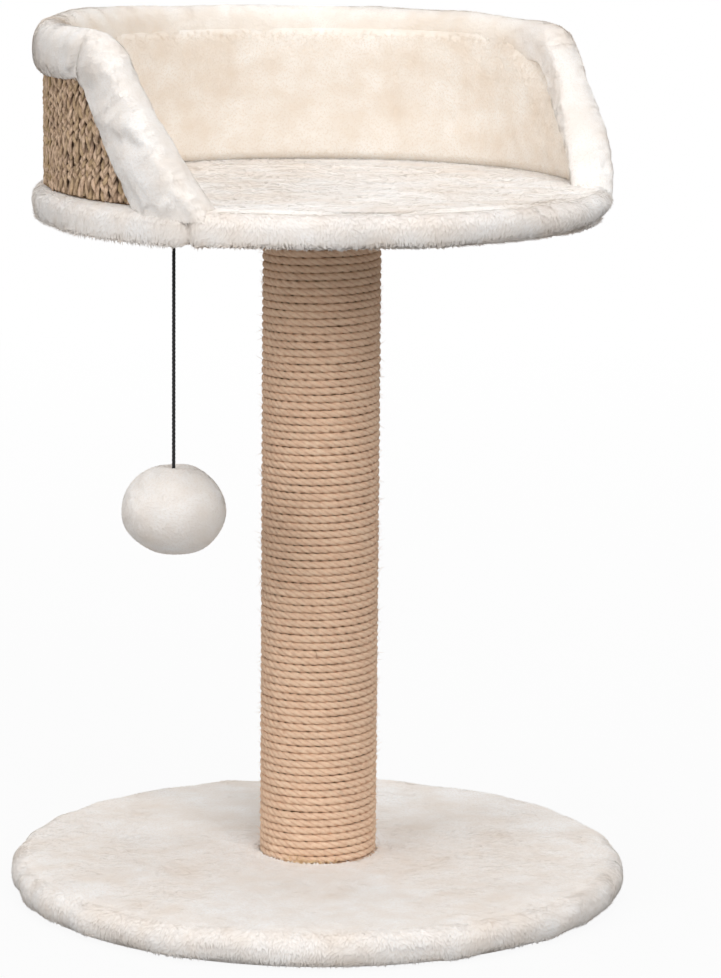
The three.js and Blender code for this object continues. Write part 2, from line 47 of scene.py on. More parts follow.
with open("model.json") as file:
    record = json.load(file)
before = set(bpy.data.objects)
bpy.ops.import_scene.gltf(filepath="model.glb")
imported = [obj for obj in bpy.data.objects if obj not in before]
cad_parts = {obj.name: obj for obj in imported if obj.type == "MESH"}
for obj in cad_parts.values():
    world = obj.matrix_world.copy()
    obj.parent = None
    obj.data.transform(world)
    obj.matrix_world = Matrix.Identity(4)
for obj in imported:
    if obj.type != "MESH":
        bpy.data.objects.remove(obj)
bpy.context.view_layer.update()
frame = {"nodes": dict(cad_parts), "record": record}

# ---- Places that come from the frame ---------------------------------------------------------

FIT = 0.0003  # gap between pieces that touch, as in the frame's source
BASE_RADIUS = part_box("base_plush")[1].x
BASE_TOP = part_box("base_plush")[1].z
POST_LOW, POST_HIGH = (corner.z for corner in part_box("post_rope"))
POST_RADIUS = 0.040  # with its rope
TUBE_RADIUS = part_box("post_tube")[1].x
SEAT_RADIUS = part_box("seat_plush")[1].x
SEAT_LOW, SEAT_TOP = (corner.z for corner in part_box("seat_plush"))
SEAT_BOARD_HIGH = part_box("seat_board")[1].z
LINING_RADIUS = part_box("wall_lining")[1].x
CORE_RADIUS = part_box("wall_core")[1].x
MAT_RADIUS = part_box("seagrass_mat")[1].x
WALL_LOW, WALL_HIGH = (corner.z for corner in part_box("seagrass_mat"))
ROLL_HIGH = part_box("top_roll")[1].z
BALL_LOW, BALL_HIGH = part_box("toy_ball")
BALL_MIDDLE = (BALL_LOW + BALL_HIGH) / 2
STRING_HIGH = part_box("toy_string")[1].z
EYE_LOW, EYE_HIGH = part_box("toy_string_eye")

ARM_LENGTH = 0.090  # from the axis forward to the arms' ends, at the seat
ARM_SLANT = math.radians(53)


def tone(red, green, blue):
    """A colour from its three screen values, 0 to 255."""
    def linear(value):
        share = value / 255
        return share / 12.92 if share <= 0.04045 else ((share + 0.055) / 1.055) ** 2.4

    return linear(red), linear(green), linear(blue)


def edge_y(height, ahead=0.0):
    """Y of the arms' slanted front plane at a height, or of a plane ahead of it."""
    return -ARM_LENGTH + (height - SEAT_TOP) / math.tan(ARM_SLANT) - ahead / math.sin(ARM_SLANT)


def edge_bearing(radius, height, ahead=0.0):
    """Bearing, in radians, where the slanted plane meets a radius at a height."""
    return math.acos(edge_y(height, ahead) / radius)


def on_nest(radius, bearing, height):
    return Vector((radius * math.sin(bearing), radius * math.cos(bearing), height))


def from_axis(points):
    """How far points are from the post's axis."""
    return np.hypot(points[:, 0], points[:, 1])


def bearings(points):
    return np.arctan2(points[:, 0], points[:, 1])


def beside_arm(points, height, radius):
    """How far points are ahead of the arms' edge at that height, along a wall of that radius."""
    edge = np.arccos(edge_y(height) / radius)
    return (np.abs(bearings(points)) - edge) * radius


def ramp(values, start, length):
    """0 up to the start, then up to 1 over the length. A negative length runs downwards."""
    return ((values - start) / length).clip(0, 1)


def hump(values, width):
    """1 where values are 0, and near 0 from two widths away."""
    return np.exp(-((values / width) ** 2))


# ---- Sizes and colours that a user would change ----------------------------------------------

def length_property(name, default, description):
    return bpy.props.FloatProperty(
        name=name, description=description, default=default, min=0,
        unit="LENGTH", subtype="DISTANCE",
    )


def colour_property(name, default, description):
    return bpy.props.FloatVectorProperty(
        name=name, description=description, default=default, size=3, min=0, max=1, subtype="COLOR"
    )


class PlushSettings(bpy.types.PropertyGroup):
    pile: length_property("Pile", 0.0042, "Length of the tufts on the rims of base and seat")
    short_pile: length_property("Short pile", 0.0032, "Length of the tufts elsewhere")
    tuft: length_property("Tuft", 0.0019, "Width of a tuft at its root")
    cream: colour_property("Cream", tone(250, 248, 246), "Main colour of the plush")
    # Shade and Lining shade are the second tones of soft patches: partly random tone, partly
    # painted shade of pile that lies over different ways.
    shade: colour_property("Shade", tone(240, 231, 222), "Patches where the pile lies over")
    lining: colour_property("Lining", tone(250, 245, 238), "Colour of the plush inside the nest")
    lining_shade: colour_property("Lining shade", tone(236, 222, 206), "Patches of the lining")


class RopeSettings(bpy.types.PropertyGroup):
    pitch: length_property("Pitch", 0.0051, "Rise of one turn of the rope")
    lay: length_property("Lay", 0.0195, "Length of one full twist of the strands")
    # Light is painted light on the strands' tops, and dark is painted shade in their grooves;
    # middle is the jute's main tone.
    light: colour_property("Light", tone(252, 225, 197), "Jute on top of a strand")
    middle: colour_property("Middle", tone(237, 199, 169), "Jute on a strand's sides")
    dark: colour_property("Dark", tone(174, 134, 105), "Jute in the grooves")


class SeagrassSettings(bpy.types.PropertyGroup):
    plait_width: length_property("Plait width", 0.0084, "Width of one upright plait")
    round: length_property("Round", 0.0215, "Length of a strand's way across the plait and back")
    # Light is painted light on the blades' outer parts, and dark is painted shade in the gaps and
    # on the backing; middle is the blades' own tone.
    light: colour_property("Light", tone(252, 224, 194), "Blades that face the light")
    middle: colour_property("Middle", tone(204, 170, 143), "Main colour of the blades")
    dark: colour_property("Dark", tone(66, 50, 36), "Gaps between the blades")


class ToySettings(bpy.types.PropertyGroup):
    string: length_property("String", 0.0025, "Thickness of the string")
    black: colour_property("Black", tone(26, 26, 27), "Colour of the string")


class StageSettings(bpy.types.PropertyGroup):
    distance: length_property("Distance", 2.776, "From the camera to the post's axis")
    height: length_property("Height", 0.777, "Of the camera above the floor")
    floor: colour_property("Floor", tone(205, 205, 205), "Colour of the floor")
    bounce: colour_property("Bounce", tone(154, 154, 154), "Floor as it lights the post")


GROUPS = {
    "plush": PlushSettings,
    "rope": RopeSettings,
    "seagrass": SeagrassSettings,
    "toy": ToySettings,
    "stage": StageSettings,
}


def sizes(group):
    return getattr(bpy.context.scene, f"scratching_post_{group}")


# ---- Materials -------------------------------------------------------------------------------

class Signal:
    """A socket of a material, or a sum or product of such sockets, written as Python."""

    def __init__(self, finish, socket):
        self.finish = finish
        self.socket = socket

    def maths(self, operation, *values):
        return self.finish.node("ShaderNodeMath", {"operation": operation}, dict(enumerate(values)))

    def __add__(self, other):
        return self.maths("ADD", self, other)

    def __radd__(self, other):
        return self.maths("ADD", other, self)

    def __sub__(self, other):
        return self.maths("SUBTRACT", self, other)

    def __rsub__(self, other):
        return self.maths("SUBTRACT", other, self)

    def __mul__(self, other):
        return self.maths("MULTIPLY", self, other)

    def __rmul__(self, other):
        return self.maths("MULTIPLY", other, self)

    def clamped(self):
        return self.maths("MINIMUM", self.maths("MAXIMUM", self, 0.0), 1.0)


class Finish:
    """A material whose nodes are all made and joined by node()."""

    def __init__(self, name, roughness=1.0, metallic=0.0, sheen=0.0):
        self.material = bpy.data.materials.new(name)
        self.material.use_nodes = True
        self.tree = self.material.node_tree
        self.shader = self.tree.nodes["Principled BSDF"]
        self.shader.inputs["Roughness"].default_value = roughness
        self.shader.inputs["Metallic"].default_value = metallic
        self.shader.inputs["Sheen Weight"].default_value = sheen
        self.shader.inputs["Sheen Roughness"].default_value = 0.6
        self.shader.inputs["Specular IOR Level"].default_value = 0.5 if metallic else 0.2

    def node(self, kind, settings=(), inputs=(), output=0):
        made = self.tree.nodes.new(kind)
        for name, value in dict(settings).items():
            setattr(made, name, value)
        for key, value in dict(inputs).items():
            if isinstance(value, Signal):
                self.tree.links.new(value.socket, made.inputs[key])
            else:
                made.inputs[key].default_value = value
        return Signal(self, made.outputs[output])

    def place(self, squash=(1, 1, 1)):
        """Object coordinates, squashed to stretch a pattern."""
        coordinates = self.node("ShaderNodeTexCoord", output=3)
        return self.node("ShaderNodeMapping", (), {0: coordinates, 3: squash})

    def lay(self, name, squash):
        """The piece's own UV map, squashed to stretch a pattern along its strands."""
        coordinates = self.node("ShaderNodeUVMap", {"uv_map": name})
        return self.node("ShaderNodeMapping", (), {0: coordinates, 3: squash})

    def attribute(self, name):
        return self.node("ShaderNodeAttribute", {"attribute_name": name}, output=2)

    def noise(self, place, grain, detail=2.0, roughness=0.5):
        """Noise from 0 to 1 whose lumps are a grain across."""
        inputs = {"Vector": place, "Scale": 1 / grain, "Detail": detail, "Roughness": roughness}
        return self.node("ShaderNodeTexNoise", (), inputs)

    def patches(self, place, grain, detail=2.0, contrast=3.0):
        return ((self.noise(place, grain, detail) - 0.5) * contrast + 0.5).clamped()

    def blend(self, first, second, share):
        colours = {6: opaque(first), 7: opaque(second)}
        return self.node("ShaderNodeMix", {"data_type": "RGBA"}, {0: share, **colours}, output=2)

    def paint(self, colour, height=None, relief=0.0):
        """Sends the colour, and a bump of that relief in metres, to the shader."""
        self.tree.links.new(colour.socket, self.shader.inputs["Base Color"])
        if height is not None:
            bump = self.node("ShaderNodeBump", (), {"Height": height, "Distance": relief})
            self.tree.links.new(bump.socket, self.shader.inputs["Normal"])
        return self.material


def opaque(colour):
    return colour if isinstance(colour, Signal) else (*colour[:3], 1.0)


def plush_finish(name, light, shade, tufts, warmer=None):
    """Plush in soft patches, partly painted shade. Tufts have painted shade at their roots.

    With a warmer pair of colours, the attribute "warm" says how much of that pair shows."""
    finish = Finish(name)
    # Painted shade, partly: these patches darken the plush where its pile stands for lying over
    # another way, and also vary its tone at random.
    wide = finish.patches(finish.place((1.0, 0.7, 1.0)), 0.042, contrast=2.8)
    small = finish.patches(finish.place((0.8, 1.0, 1.0)), 0.015, contrast=2.6)
    share = (wide * 0.6 + small * 0.5 - 0.1).clamped()
    colour = finish.blend(light, shade, share)
    if warmer:
        colour = finish.blend(colour, finish.blend(*warmer, share), finish.attribute("warm"))
    if tufts:
        # Painted shade: the tufts' roots take a darker tone, as shade deep in the pile.
        root = [0.97 * value for value in shade]
        tip = finish.attribute("tip")
        return finish.paint(finish.blend(root, colour, (tip * 1.5 + 0.3).clamped()))
    fibres = finish.noise(finish.place(), 0.0022, 3.0, 0.7)
    return finish.paint(colour, fibres, 0.0003)


def strand_finish(name, settings, squash, relief, depth=1.0, tint=None):
    """Plant fibre laid along strands. The greater the depth, the darker the grooves' painted shade.
    """
    finish = Finish(name, roughness=0.9)
    fibres = finish.patches(finish.lay("Lay", squash), 1.0, 3.0, contrast=1.8)
    patches = finish.patches(finish.place(), 0.012, contrast=2.2)
    flecks = finish.patches(finish.place(), 0.0026, 2.0, contrast=3.0)
    height = finish.attribute("height")
    # Painted light: "height" is highest on the strands' crests, which it makes lighter.
    share = height * 0.5 + fibres * 0.55 + patches * 0.3 + flecks * 0.4 - 0.65
    body = finish.blend(settings.middle, settings.light, share.clamped())
    if tint:
        body = finish.blend(body, tint, finish.attribute("tint").clamped())
    # Painted shade: the grooves, where "height" is low, darken towards the dark colour.
    lit = height * 2.0 + fibres * 0.5 + flecks * 0.3 + (0.45 - 0.45 * depth)
    colour = finish.blend(settings.dark, body, (lit * (1 / depth)).clamped())
    return finish.paint(colour, fibres, relief)


def grained_finish(name, light, dark, grain, squash=(1, 1, 1), roughness=0.8, relief=0.0002):
    """A hidden piece's finish: two tones in grains of that size."""
    finish = Finish(name, roughness=roughness)
    grains = finish.patches(finish.place(squash), grain, 4.0, 2.5)
    return finish.paint(finish.blend(light, dark, grains), grains, relief)


def metal_finish(name, colour):
    finish = Finish(name, roughness=0.35, metallic=1.0)
    clouds = finish.patches(finish.place(), 0.004, 3.0, 2.0)
    dull = [0.75 * value for value in colour]
    rough = clouds * 0.2 + 0.28
    finish.tree.links.new(rough.socket, finish.shader.inputs["Roughness"])
    return finish.paint(finish.blend(colour, dull, clouds), clouds, 0.00005)


def plush_pair(name, light, shade, warmer=None):
    """The finishes of a plush's backing and of its pile."""
    return [
        plush_finish(f"{name} {layer}", light, shade, layer == "pile", warmer)
        for layer in ("backing", "pile")
    ]


def fibre_finish(name, light, dark, grain):
    finish = Finish(name, roughness=0.9)
    tones = finish.patches(finish.place(), grain, contrast=3.0)
    return finish.paint(finish.blend(light, dark, tones))


# ---- Modelling tools -------------------------------------------------------------------------

def deselect():
    if bpy.context.object and bpy.context.object.mode != "OBJECT":
        bpy.ops.object.mode_set(mode="OBJECT")
    bpy.ops.object.select_all(action="DESELECT")


def activate(piece):
    deselect()
    piece.select_set(True)
    bpy.context.view_layer.objects.active = piece


def choose(piece, test, kind="FACE"):
    """Enters edit mode with the faces, or edges, that pass the test selected, and nothing else."""
    activate(piece)
    mesh = piece.data
    for parts in (mesh.vertices, mesh.edges, mesh.polygons):
        parts.foreach_set("select", [False] * len(parts))
    if kind == "FACE":
        for face in mesh.polygons:
            face.select = test(face.center, face.normal)
    else:
        for edge in mesh.edges:
            first, second = (mesh.vertices[i].co for i in edge.vertices)
            edge.select = test((first + second) / 2, second - first)
    bpy.context.tool_settings.mesh_select_mode = (False, kind == "EDGE", kind == "FACE")
    bpy.ops.object.mode_set(mode="EDIT")


def choose_all(piece):
    """Enters edit mode with the whole piece selected."""
    activate(piece)
    bpy.ops.object.mode_set(mode="EDIT")
    bpy.ops.mesh.select_all(action="SELECT")


def leave():
    bpy.ops.object.mode_set(mode="OBJECT")


def modify(piece, kind, **settings):
    """Adds a modifier with these settings and applies it."""
    activate(piece)
    modifier = piece.modifiers.new(kind, kind)
    for name, value in settings.items():
        setattr(modifier, name, value)
    bpy.ops.object.modifier_apply(modifier=modifier.name)


def settle(piece):
    """Puts the piece's place into its mesh and smooths its faces."""
    activate(piece)
    bpy.ops.object.transform_apply(location=True, rotation=True, scale=True)
    bpy.ops.object.shade_smooth()


def finished(piece, material, body="stand", stands_for=()):
    """Gives a piece its material and its body, and hides the nodes that it stands for."""
    piece.data.materials.clear()
    piece.data.materials.append(material)
    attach(piece, body)
    if stands_for:
        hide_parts(*stands_for)
    return piece


def numbers(items, name, width=1, kind=np.float32):
    found = np.empty(len(items) * width, kind)
    items.foreach_get(name, found)
    return found.reshape(-1, width) if width > 1 else found


def move_points(piece, shift):
    """Moves every point by what shift(points, normals) gives for it."""
    mesh = piece.data
    points = numbers(mesh.vertices, "co", 3).astype(float)
    normals = numbers(mesh.vertices, "normal", 3).astype(float)
    points += shift(points, normals)
    mesh.vertices.foreach_set("co", points.astype(np.float32).ravel())
    mesh.update()


def unit(vectors):
    return vectors / np.maximum(np.linalg.norm(vectors, axis=1, keepdims=True), 1e-12)


def square_to(vectors, lines):
    """The unit vectors that are left when what runs along the lines is taken away."""
    return unit(vectors - lines * (vectors * lines).sum(1, keepdims=True))


def xyz(*columns):
    """Rows of X, Y and Z, each given as an array or as one number for all rows."""
    return np.stack(np.broadcast_arrays(*columns), 1)


def ripple(points, wavelength, seed, waves=8):
    """A smooth random number for each point, mostly from -1 to 1."""
    random = np.random.default_rng(seed)
    ways = unit(random.normal(size=(waves, 3)))
    steps = 2 * math.pi / wavelength * random.uniform(0.7, 1.4, (waves, 1))
    starts = random.uniform(0, 2 * math.pi, waves)
    return np.sin(points @ (ways * steps).T + starts).sum(1) / math.sqrt(waves)


def new_mesh(name, points, faces):
    """A mesh object from rows of points and of faces that all have as many corners."""
    mesh = bpy.data.meshes.new(name)
    mesh.from_pydata(points, [], faces)
    mesh.update()
    mesh.polygons.foreach_set("use_smooth", [True] * len(mesh.polygons))
    piece = bpy.data.objects.new(name, mesh)
    bpy.context.scene.collection.objects.link(piece)
    return piece


def new_slivers(name, corners, faces):
    """A mesh of small solids of four points each, from arrays of their first to fourth points."""
    points = np.stack(corners, 1).reshape(-1, 3)
    faces = (faces[None] + 4 * np.arange(len(corners[0]))[:, None, None]).reshape(-1, 3)
    return new_mesh(name, points, faces.tolist())


def add_attribute(piece, name, values):
    attribute = piece.data.attributes.new(name, "FLOAT", "POINT")
    attribute.data.foreach_set("value", np.asarray(values, np.float32).ravel())


def add_map(piece, name, places):
    layer = piece.data.uv_layers.new(name=name)
    layer.data.foreach_set("uv", np.asarray(places, np.float32).ravel())


# ---- Plush -----------------------------------------------------------------------------------

def scatter(piece, count, wanted, random):
    """Points spread evenly over a piece's wanted faces, and the surface's normals there."""
    mesh = piece.data
    mesh.calc_loop_triangles()
    corners = numbers(mesh.loop_triangles, "vertices", 3, np.int32)
    points = numbers(mesh.vertices, "co", 3).astype(float)
    normals = numbers(mesh.vertices, "normal", 3).astype(float)
    facing = np.cross(
        points[corners[:, 1]] - points[corners[:, 0]], points[corners[:, 2]] - points[corners[:, 0]]
    )
    kept = wanted(points[corners].mean(1), unit(facing))
    corners, area = corners[kept], np.linalg.norm(facing[kept], axis=1)
    ends = np.cumsum(area)
    at = (np.arange(count) + random.random(count)) * ends[-1] / count
    face = corners[np.searchsorted(ends, at).clip(0, len(corners) - 1)]
    across, up = random.random((2, count))
    folded = across + up > 1
    across[folded], up[folded] = 1 - across[folded], 1 - up[folded]
    weights = np.stack([1 - across - up, across, up], 1)[:, :, None]
    return (points[face] * weights).sum(1), unit((normals[face] * weights).sum(1))


TUFT_FACES = np.array([[0, 1, 3], [2, 0, 3], [1, 2, 3], [0, 2, 1]])
TUFT_TOP_UV = [(0.02, 0.02), (0.98, 0.02), (0.50, 0.62)]
TUFT_LEFT_UV = [(0.02, 0.62), (0.02, 0.98), (0.30, 0.98)]
TUFT_RIGHT_UV = [(0.98, 0.98), (0.98, 0.62), (0.70, 0.98)]
TUFT_ROOT_UV = [(0.42, 0.80), (0.58, 0.80), (0.50, 0.96)]


CLUMPED_LEAN = 1.46  # a pile that leans less than this, from upright, gathers in clumps
FLATTEST_LEAN = 1.56


def grow_pile(name, skin, count, length, width, lean, comb, wanted, seed, warm=None):
    """Closed slivers that stand on a skin and lie over, broad side up, the way comb() gives."""
    random = np.random.default_rng(seed)
    root, normal = scatter(skin, count, wanted, random)
    way = square_to(comb(root), normal)
    side = np.cross(normal, way)
    turn = 0.6 * ripple(root, 0.07, seed + 1) + 0.4 * ripple(root, 0.012, seed + 2)
    turn = (turn + random.normal(0, 0.22, count))[:, None]
    nap = way * np.cos(turn) + side * np.sin(turn)
    across = np.cross(normal, nap)
    if callable(lean):
        lean = lean(root)
    clumps = ripple(root, 0.006, seed + 4) * np.maximum(CLUMPED_LEAN - lean, 0)
    slope = lean + 0.01 * ripple(root, 0.03, seed + 3) + 0.4 * clumps
    slope = (slope + random.normal(0, 0.015, count)).clip(0.1, FLATTEST_LEAN)[:, None]
    reach = length * random.uniform(0.7, 1.2, count)[:, None]
    tip = root + (normal * np.cos(slope) + nap * np.sin(slope)) * reach
    tip[:, 2] = np.maximum(tip[:, 2], FIT)
    roll = random.normal(0, 0.06, count)[:, None]
    broad = across * np.cos(roll) + normal * np.sin(roll)
    foot = root - nap * 0.15 * width
    low = root - normal * 0.2 * width
    half = broad * width / 2
    pile = new_slivers(name, [foot - half, foot + half, low, tip], TUFT_FACES)
    activate(pile)
    bpy.ops.object.shade_flat()
    add_attribute(pile, "tip", np.tile([0, 0, 0, 1], count))
    if warm:
        add_attribute(pile, "warm", np.repeat(warm(root), 4))

    cells = math.ceil(math.sqrt(count))
    drawn = np.array(TUFT_TOP_UV + TUFT_LEFT_UV + TUFT_RIGHT_UV + TUFT_ROOT_UV)
    cell = np.stack([np.arange(count) % cells, np.arange(count) // cells], 1)[:, None]
    add_map(pile, "OFBake", (cell + drawn[None]) / cells)
    return pile


def grow_piles(skin, finish, piles, body="stand", warm=None):
    """Grows a skin's piles from rows of name, count, length, lean, comb, wanted faces and seed."""
    width = sizes("plush").tuft
    grown = []
    for name, count, length, lean, comb, wanted, seed in piles:
        pile = grow_pile(name, skin, count, length, width, lean, comb, wanted, seed, warm)
        grown.append(finished(pile, finish, body))
    return grown


def outward(points):
    return points * (1, 1, 0)


def all_toward(*way):
    """A comb that lays a whole pile one way."""
    return lambda points: points * 0 + way


def toward_post(points):
    """Outwards, but towards the post right beside it, where the pile closes round the rope."""
    near = from_axis(points) < POST_RADIUS + 0.007
    return points * (1, 1, 0) * np.where(near, -1, 1)[:, None]


def closed_round_post(points):
    """Lean of the base's tufts: nearly flat, but standing against the rope beside the post."""
    return 1.53 - 0.49 * (1 - ramp(from_axis(points), POST_RADIUS, 0.006))


def looser_below(height, looseness):
    """Lean of a rim's tufts: pressed flat above that height, and standing off below it."""
    return lambda points: 1.52 - looseness * ramp(points[:, 2], height, -0.008)


def hanging(points):
    """Outwards and down, as pile lies on a rim."""
    return unit(outward(points)) - (0, 0, 0.9)


def upper_side(middle, normal, level):
    """Whether faces look up and are above the level that parts a disc cover's top from its hem."""
    return (normal[:, 2] > 0.6) & (middle[:, 2] > level)


def outer_side(middle, normal, level):
    """Whether faces are on a disc cover's rim or top, and not on its inner layer."""
    return ((normal * outward(middle)).sum(1) > 0.002) | upper_side(middle, normal, level)


def top_centre(middle, normal):
    """Picks the face in the middle of a disc's top."""
    return normal.z > 0.99 and middle.xy.length < 0.01


def disc_cover(name, radius, low, high, rim, hem, rings, sides=192):
    """A plush cover: a disc rounded at its rim and turned under, open inside its hem.

    Its top is divided at the radii in rings, from the outermost to the innermost."""
    deselect()
    bpy.ops.mesh.primitive_cylinder_add(
        vertices=sides, radius=radius, depth=high - low, location=(0, 0, (low + high) / 2)
    )
    cover = bpy.context.object
    cover.name = name
    settle(cover)
    at_rim = lambda middle, along: abs(along.z) < 1e-6 and middle.xy.length > radius * 0.9
    choose(cover, at_rim, "EDGE")
    bpy.ops.mesh.bevel(offset=rim, segments=7, profile=0.5, affect="EDGES")
    leave()
    flat = radius - rim
    choose(cover, lambda middle, normal: top_centre(middle, -normal))
    bpy.ops.mesh.inset(thickness=flat - hem)
    bpy.ops.mesh.delete(type="FACE")
    leave()
    for here, there in zip([flat, *rings], rings):
        choose(cover, top_centre)
        bpy.ops.mesh.inset(thickness=here - there)
        leave()
    return cover


def steps(start, stop, step):
    """Radii from start down towards stop, about a step apart, with stop as the last."""
    count = max(1, round((start - stop) / step))
    return [start + (stop - start) * (i + 1) / count for i in range(count)]


PLUSH_SKIN = 0.002  # thickness of the plush's backing


def dress_disc(cover, name, node, cut, piles):
    """Thickens a disc cover inwards and grows its piles."""
    plush = sizes("plush")
    modify(cover, "SOLIDIFY", thickness=PLUSH_SKIN, offset=-1)
    settle(cover)
    backing, tufted = plush_pair(name, plush.cream, plush.shade)
    finished(cover, backing, stands_for=[node])
    grown = grow_piles(cover, tufted, piles)
    math.pi * cut * cut / 4


ON_FLOOR = 0.002  # the base's cover lies flat, and has no pile, below this height
PILE_OVERLAP = 0.003  # a rim's pile starts this far inside the rim


class AddBaseCover(bpy.types.Operator):
    """Models the base's plush: a cover stretched over the board, and its pile"""

    bl_idname = "scratching_post.base_cover"
    bl_label = "Base cover"

    def execute(self, context):
        plush = sizes("plush")
        radius, high = BASE_RADIUS - 0.001, BASE_TOP - 0.0006
        rim, dent = 0.0112, POST_RADIUS + FIT
        rings = [*steps(radius - rim, 0.046, 0.009), dent + 0.0015, dent]
        cover = disc_cover("base_cover", radius, 0.0, high, rim, 0.170, rings, 240)
        choose(cover, top_centre)
        sunk = (0, 0, POST_LOW - FIT - high)
        bpy.ops.mesh.extrude_region_move(TRANSFORM_OT_translate={"value": sunk})
        bpy.ops.mesh.inset(thickness=dent - 0.0046)
        bpy.ops.mesh.delete(type="FACE")
        leave()

        def lie_softly(points, normals):
            away, height = from_axis(points), points[:, 2]
            top = ramp(away, 0.05, 0.03) * (normals[:, 2] > 0.1)
            rim_share = ramp(away, 0.185, 0.02)
            soft = 0.0004 * ripple(points, 0.05, 11) * top
            soft += 0.0009 * ripple(points, 0.045, 12) * rim_share
            moved = normals * soft[:, None] * (height > ON_FLOOR)[:, None]
            crown = ramp(away, 0.158, 0.050) ** 2 * ramp(height, 0.008, 0.014)
            moved[:, 2] -= 0.0014 * crown
            return moved

        def on_top(middle, normal):
            away = from_axis(middle)
            free = (away > dent + 0.001) & (away < radius - rim)
            return upper_side(middle, normal, high / 2) & free

        def round_rim(middle, normal):
            beyond = from_axis(middle) > radius - rim - PILE_OVERLAP
            return beyond & (middle[:, 2] > ON_FLOOR) & outer_side(middle, normal, high / 2)

        move_points(cover, lie_softly)
        cut = 2 * (BASE_RADIUS + BASE_TOP + 0.030)
        dress_disc(cover, "cream plush", "base_plush", cut, (
            ("base_pile_top", 40000, plush.short_pile, closed_round_post, toward_post, on_top, 21),
            ("base_pile_rim", 25000, plush.pile, looser_below(0.008, 0.16), hanging, round_rim, 22),
        ))
        return {"FINISHED"}


CREASE_BEARING = math.radians(120.7)  # where the bindings' feet are drawn over the seat's rim
SEAT_COVER_RADIUS = SEAT_RADIUS - 0.0022  # leaves room for the pile


class AddSeatCover(bpy.types.Operator):
    """Models the seat's plush: a cover over the board, pressed under the wall, and its pile"""

    bl_idname = "scratching_post.seat_cover"
    bl_label = "Seat cover"

    def execute(self, context):
        plush = sizes("plush")
        radius, low, high = SEAT_COVER_RADIUS, SEAT_LOW + 0.0012, SEAT_TOP - 0.0018
        rim, level = 0.0098, (low + high) / 2
        core_inner, core_outer = LINING_RADIUS + FIT, CORE_RADIUS
        groove = [
            core_outer + 0.0012, core_outer + 0.0004, core_inner - 0.0004, core_inner - 0.0012
        ]
        rings = [*groove, *steps(groove[-1], 0.010, 0.009)]
        cover = disc_cover("seat_cover", radius, low, high, rim, 0.150, rings, 480)
        pressed = SEAT_BOARD_HIGH + FIT + PLUSH_SKIN

        def lie_softly(points, normals):
            away, turned = from_axis(points), bearings(points)
            rim_share = ramp(away, 0.184, 0.006)
            soft = normals * (0.0011 * ripple(points, 0.075, 31) * rim_share)[:, None]
            crease = hump((np.abs(turned) - CREASE_BEARING) * away, 0.0030)
            soft -= normals * (0.0045 * crease * rim_share)[:, None]
            lower = ramp(points[:, 2], SEAT_LOW + 0.016, -0.012) * rim_share
            beside = (turned - 2.35 + math.pi) % (2 * math.pi) - math.pi
            drawn_up = 0.0040 * hump(beside, 0.5)
            drawn_in = 0.0035 * hump(turned - 2.1, 0.5)
            slack = 0.0042 * hump(turned + 1.85, 0.55)
            soft[:, 2] += (drawn_up - slack) * lower
            soft -= unit(outward(points)) * (drawn_in * lower)[:, None]
            on_top = points[:, 2] > level
            under = on_top & (away < groove[1] + 1e-4) & (away > groove[2] - 1e-4)
            under &= points[:, 1] > edge_y(SEAT_TOP, 0.002)
            soft[under] = 0
            soft[under, 2] = pressed - points[under, 2]
            calm = on_top & (away < groove[2] - 1e-4)
            soft[calm] += normals[calm] * (0.0002 * ripple(points[calm], 0.06, 32))[:, None]
            return soft

        arms_end = edge_y(SEAT_TOP, 0.014)  # just ahead of the bindings' feet

        def inside(middle, normal):
            away = from_axis(middle)
            front = (middle[:, 1] < arms_end) & (away < radius - rim)
            return upper_side(middle, normal, level) & ((away < LINING_RADIUS - 0.004) | front)

        def round_rim(middle, normal):
            away = from_axis(middle)
            outside = (away > MAT_RADIUS - PILE_OVERLAP) & (middle[:, 1] > arms_end)
            front = (away > radius - rim - PILE_OVERLAP) & (middle[:, 1] < arms_end)
            return (outside | front) & outer_side(middle, normal, level)

        move_points(cover, lie_softly)
        cut = 2 * (SEAT_RADIUS + (SEAT_TOP - SEAT_LOW) + 0.036)
        forward, loose = all_toward(0.2, -1, 0), looser_below(SEAT_LOW + 0.010, 0.30)
        dress_disc(cover, "seat plush", "seat_plush", cut, (
            ("seat_pile_top", 38000, plush.short_pile, 1.54, forward, inside, 41),
            ("seat_pile_rim", 27000, plush.pile, loose, hanging, round_rim, 42),
        ))
        return {"FINISHED"}


# ---- Rope ------------------------------------------------------------------------------------

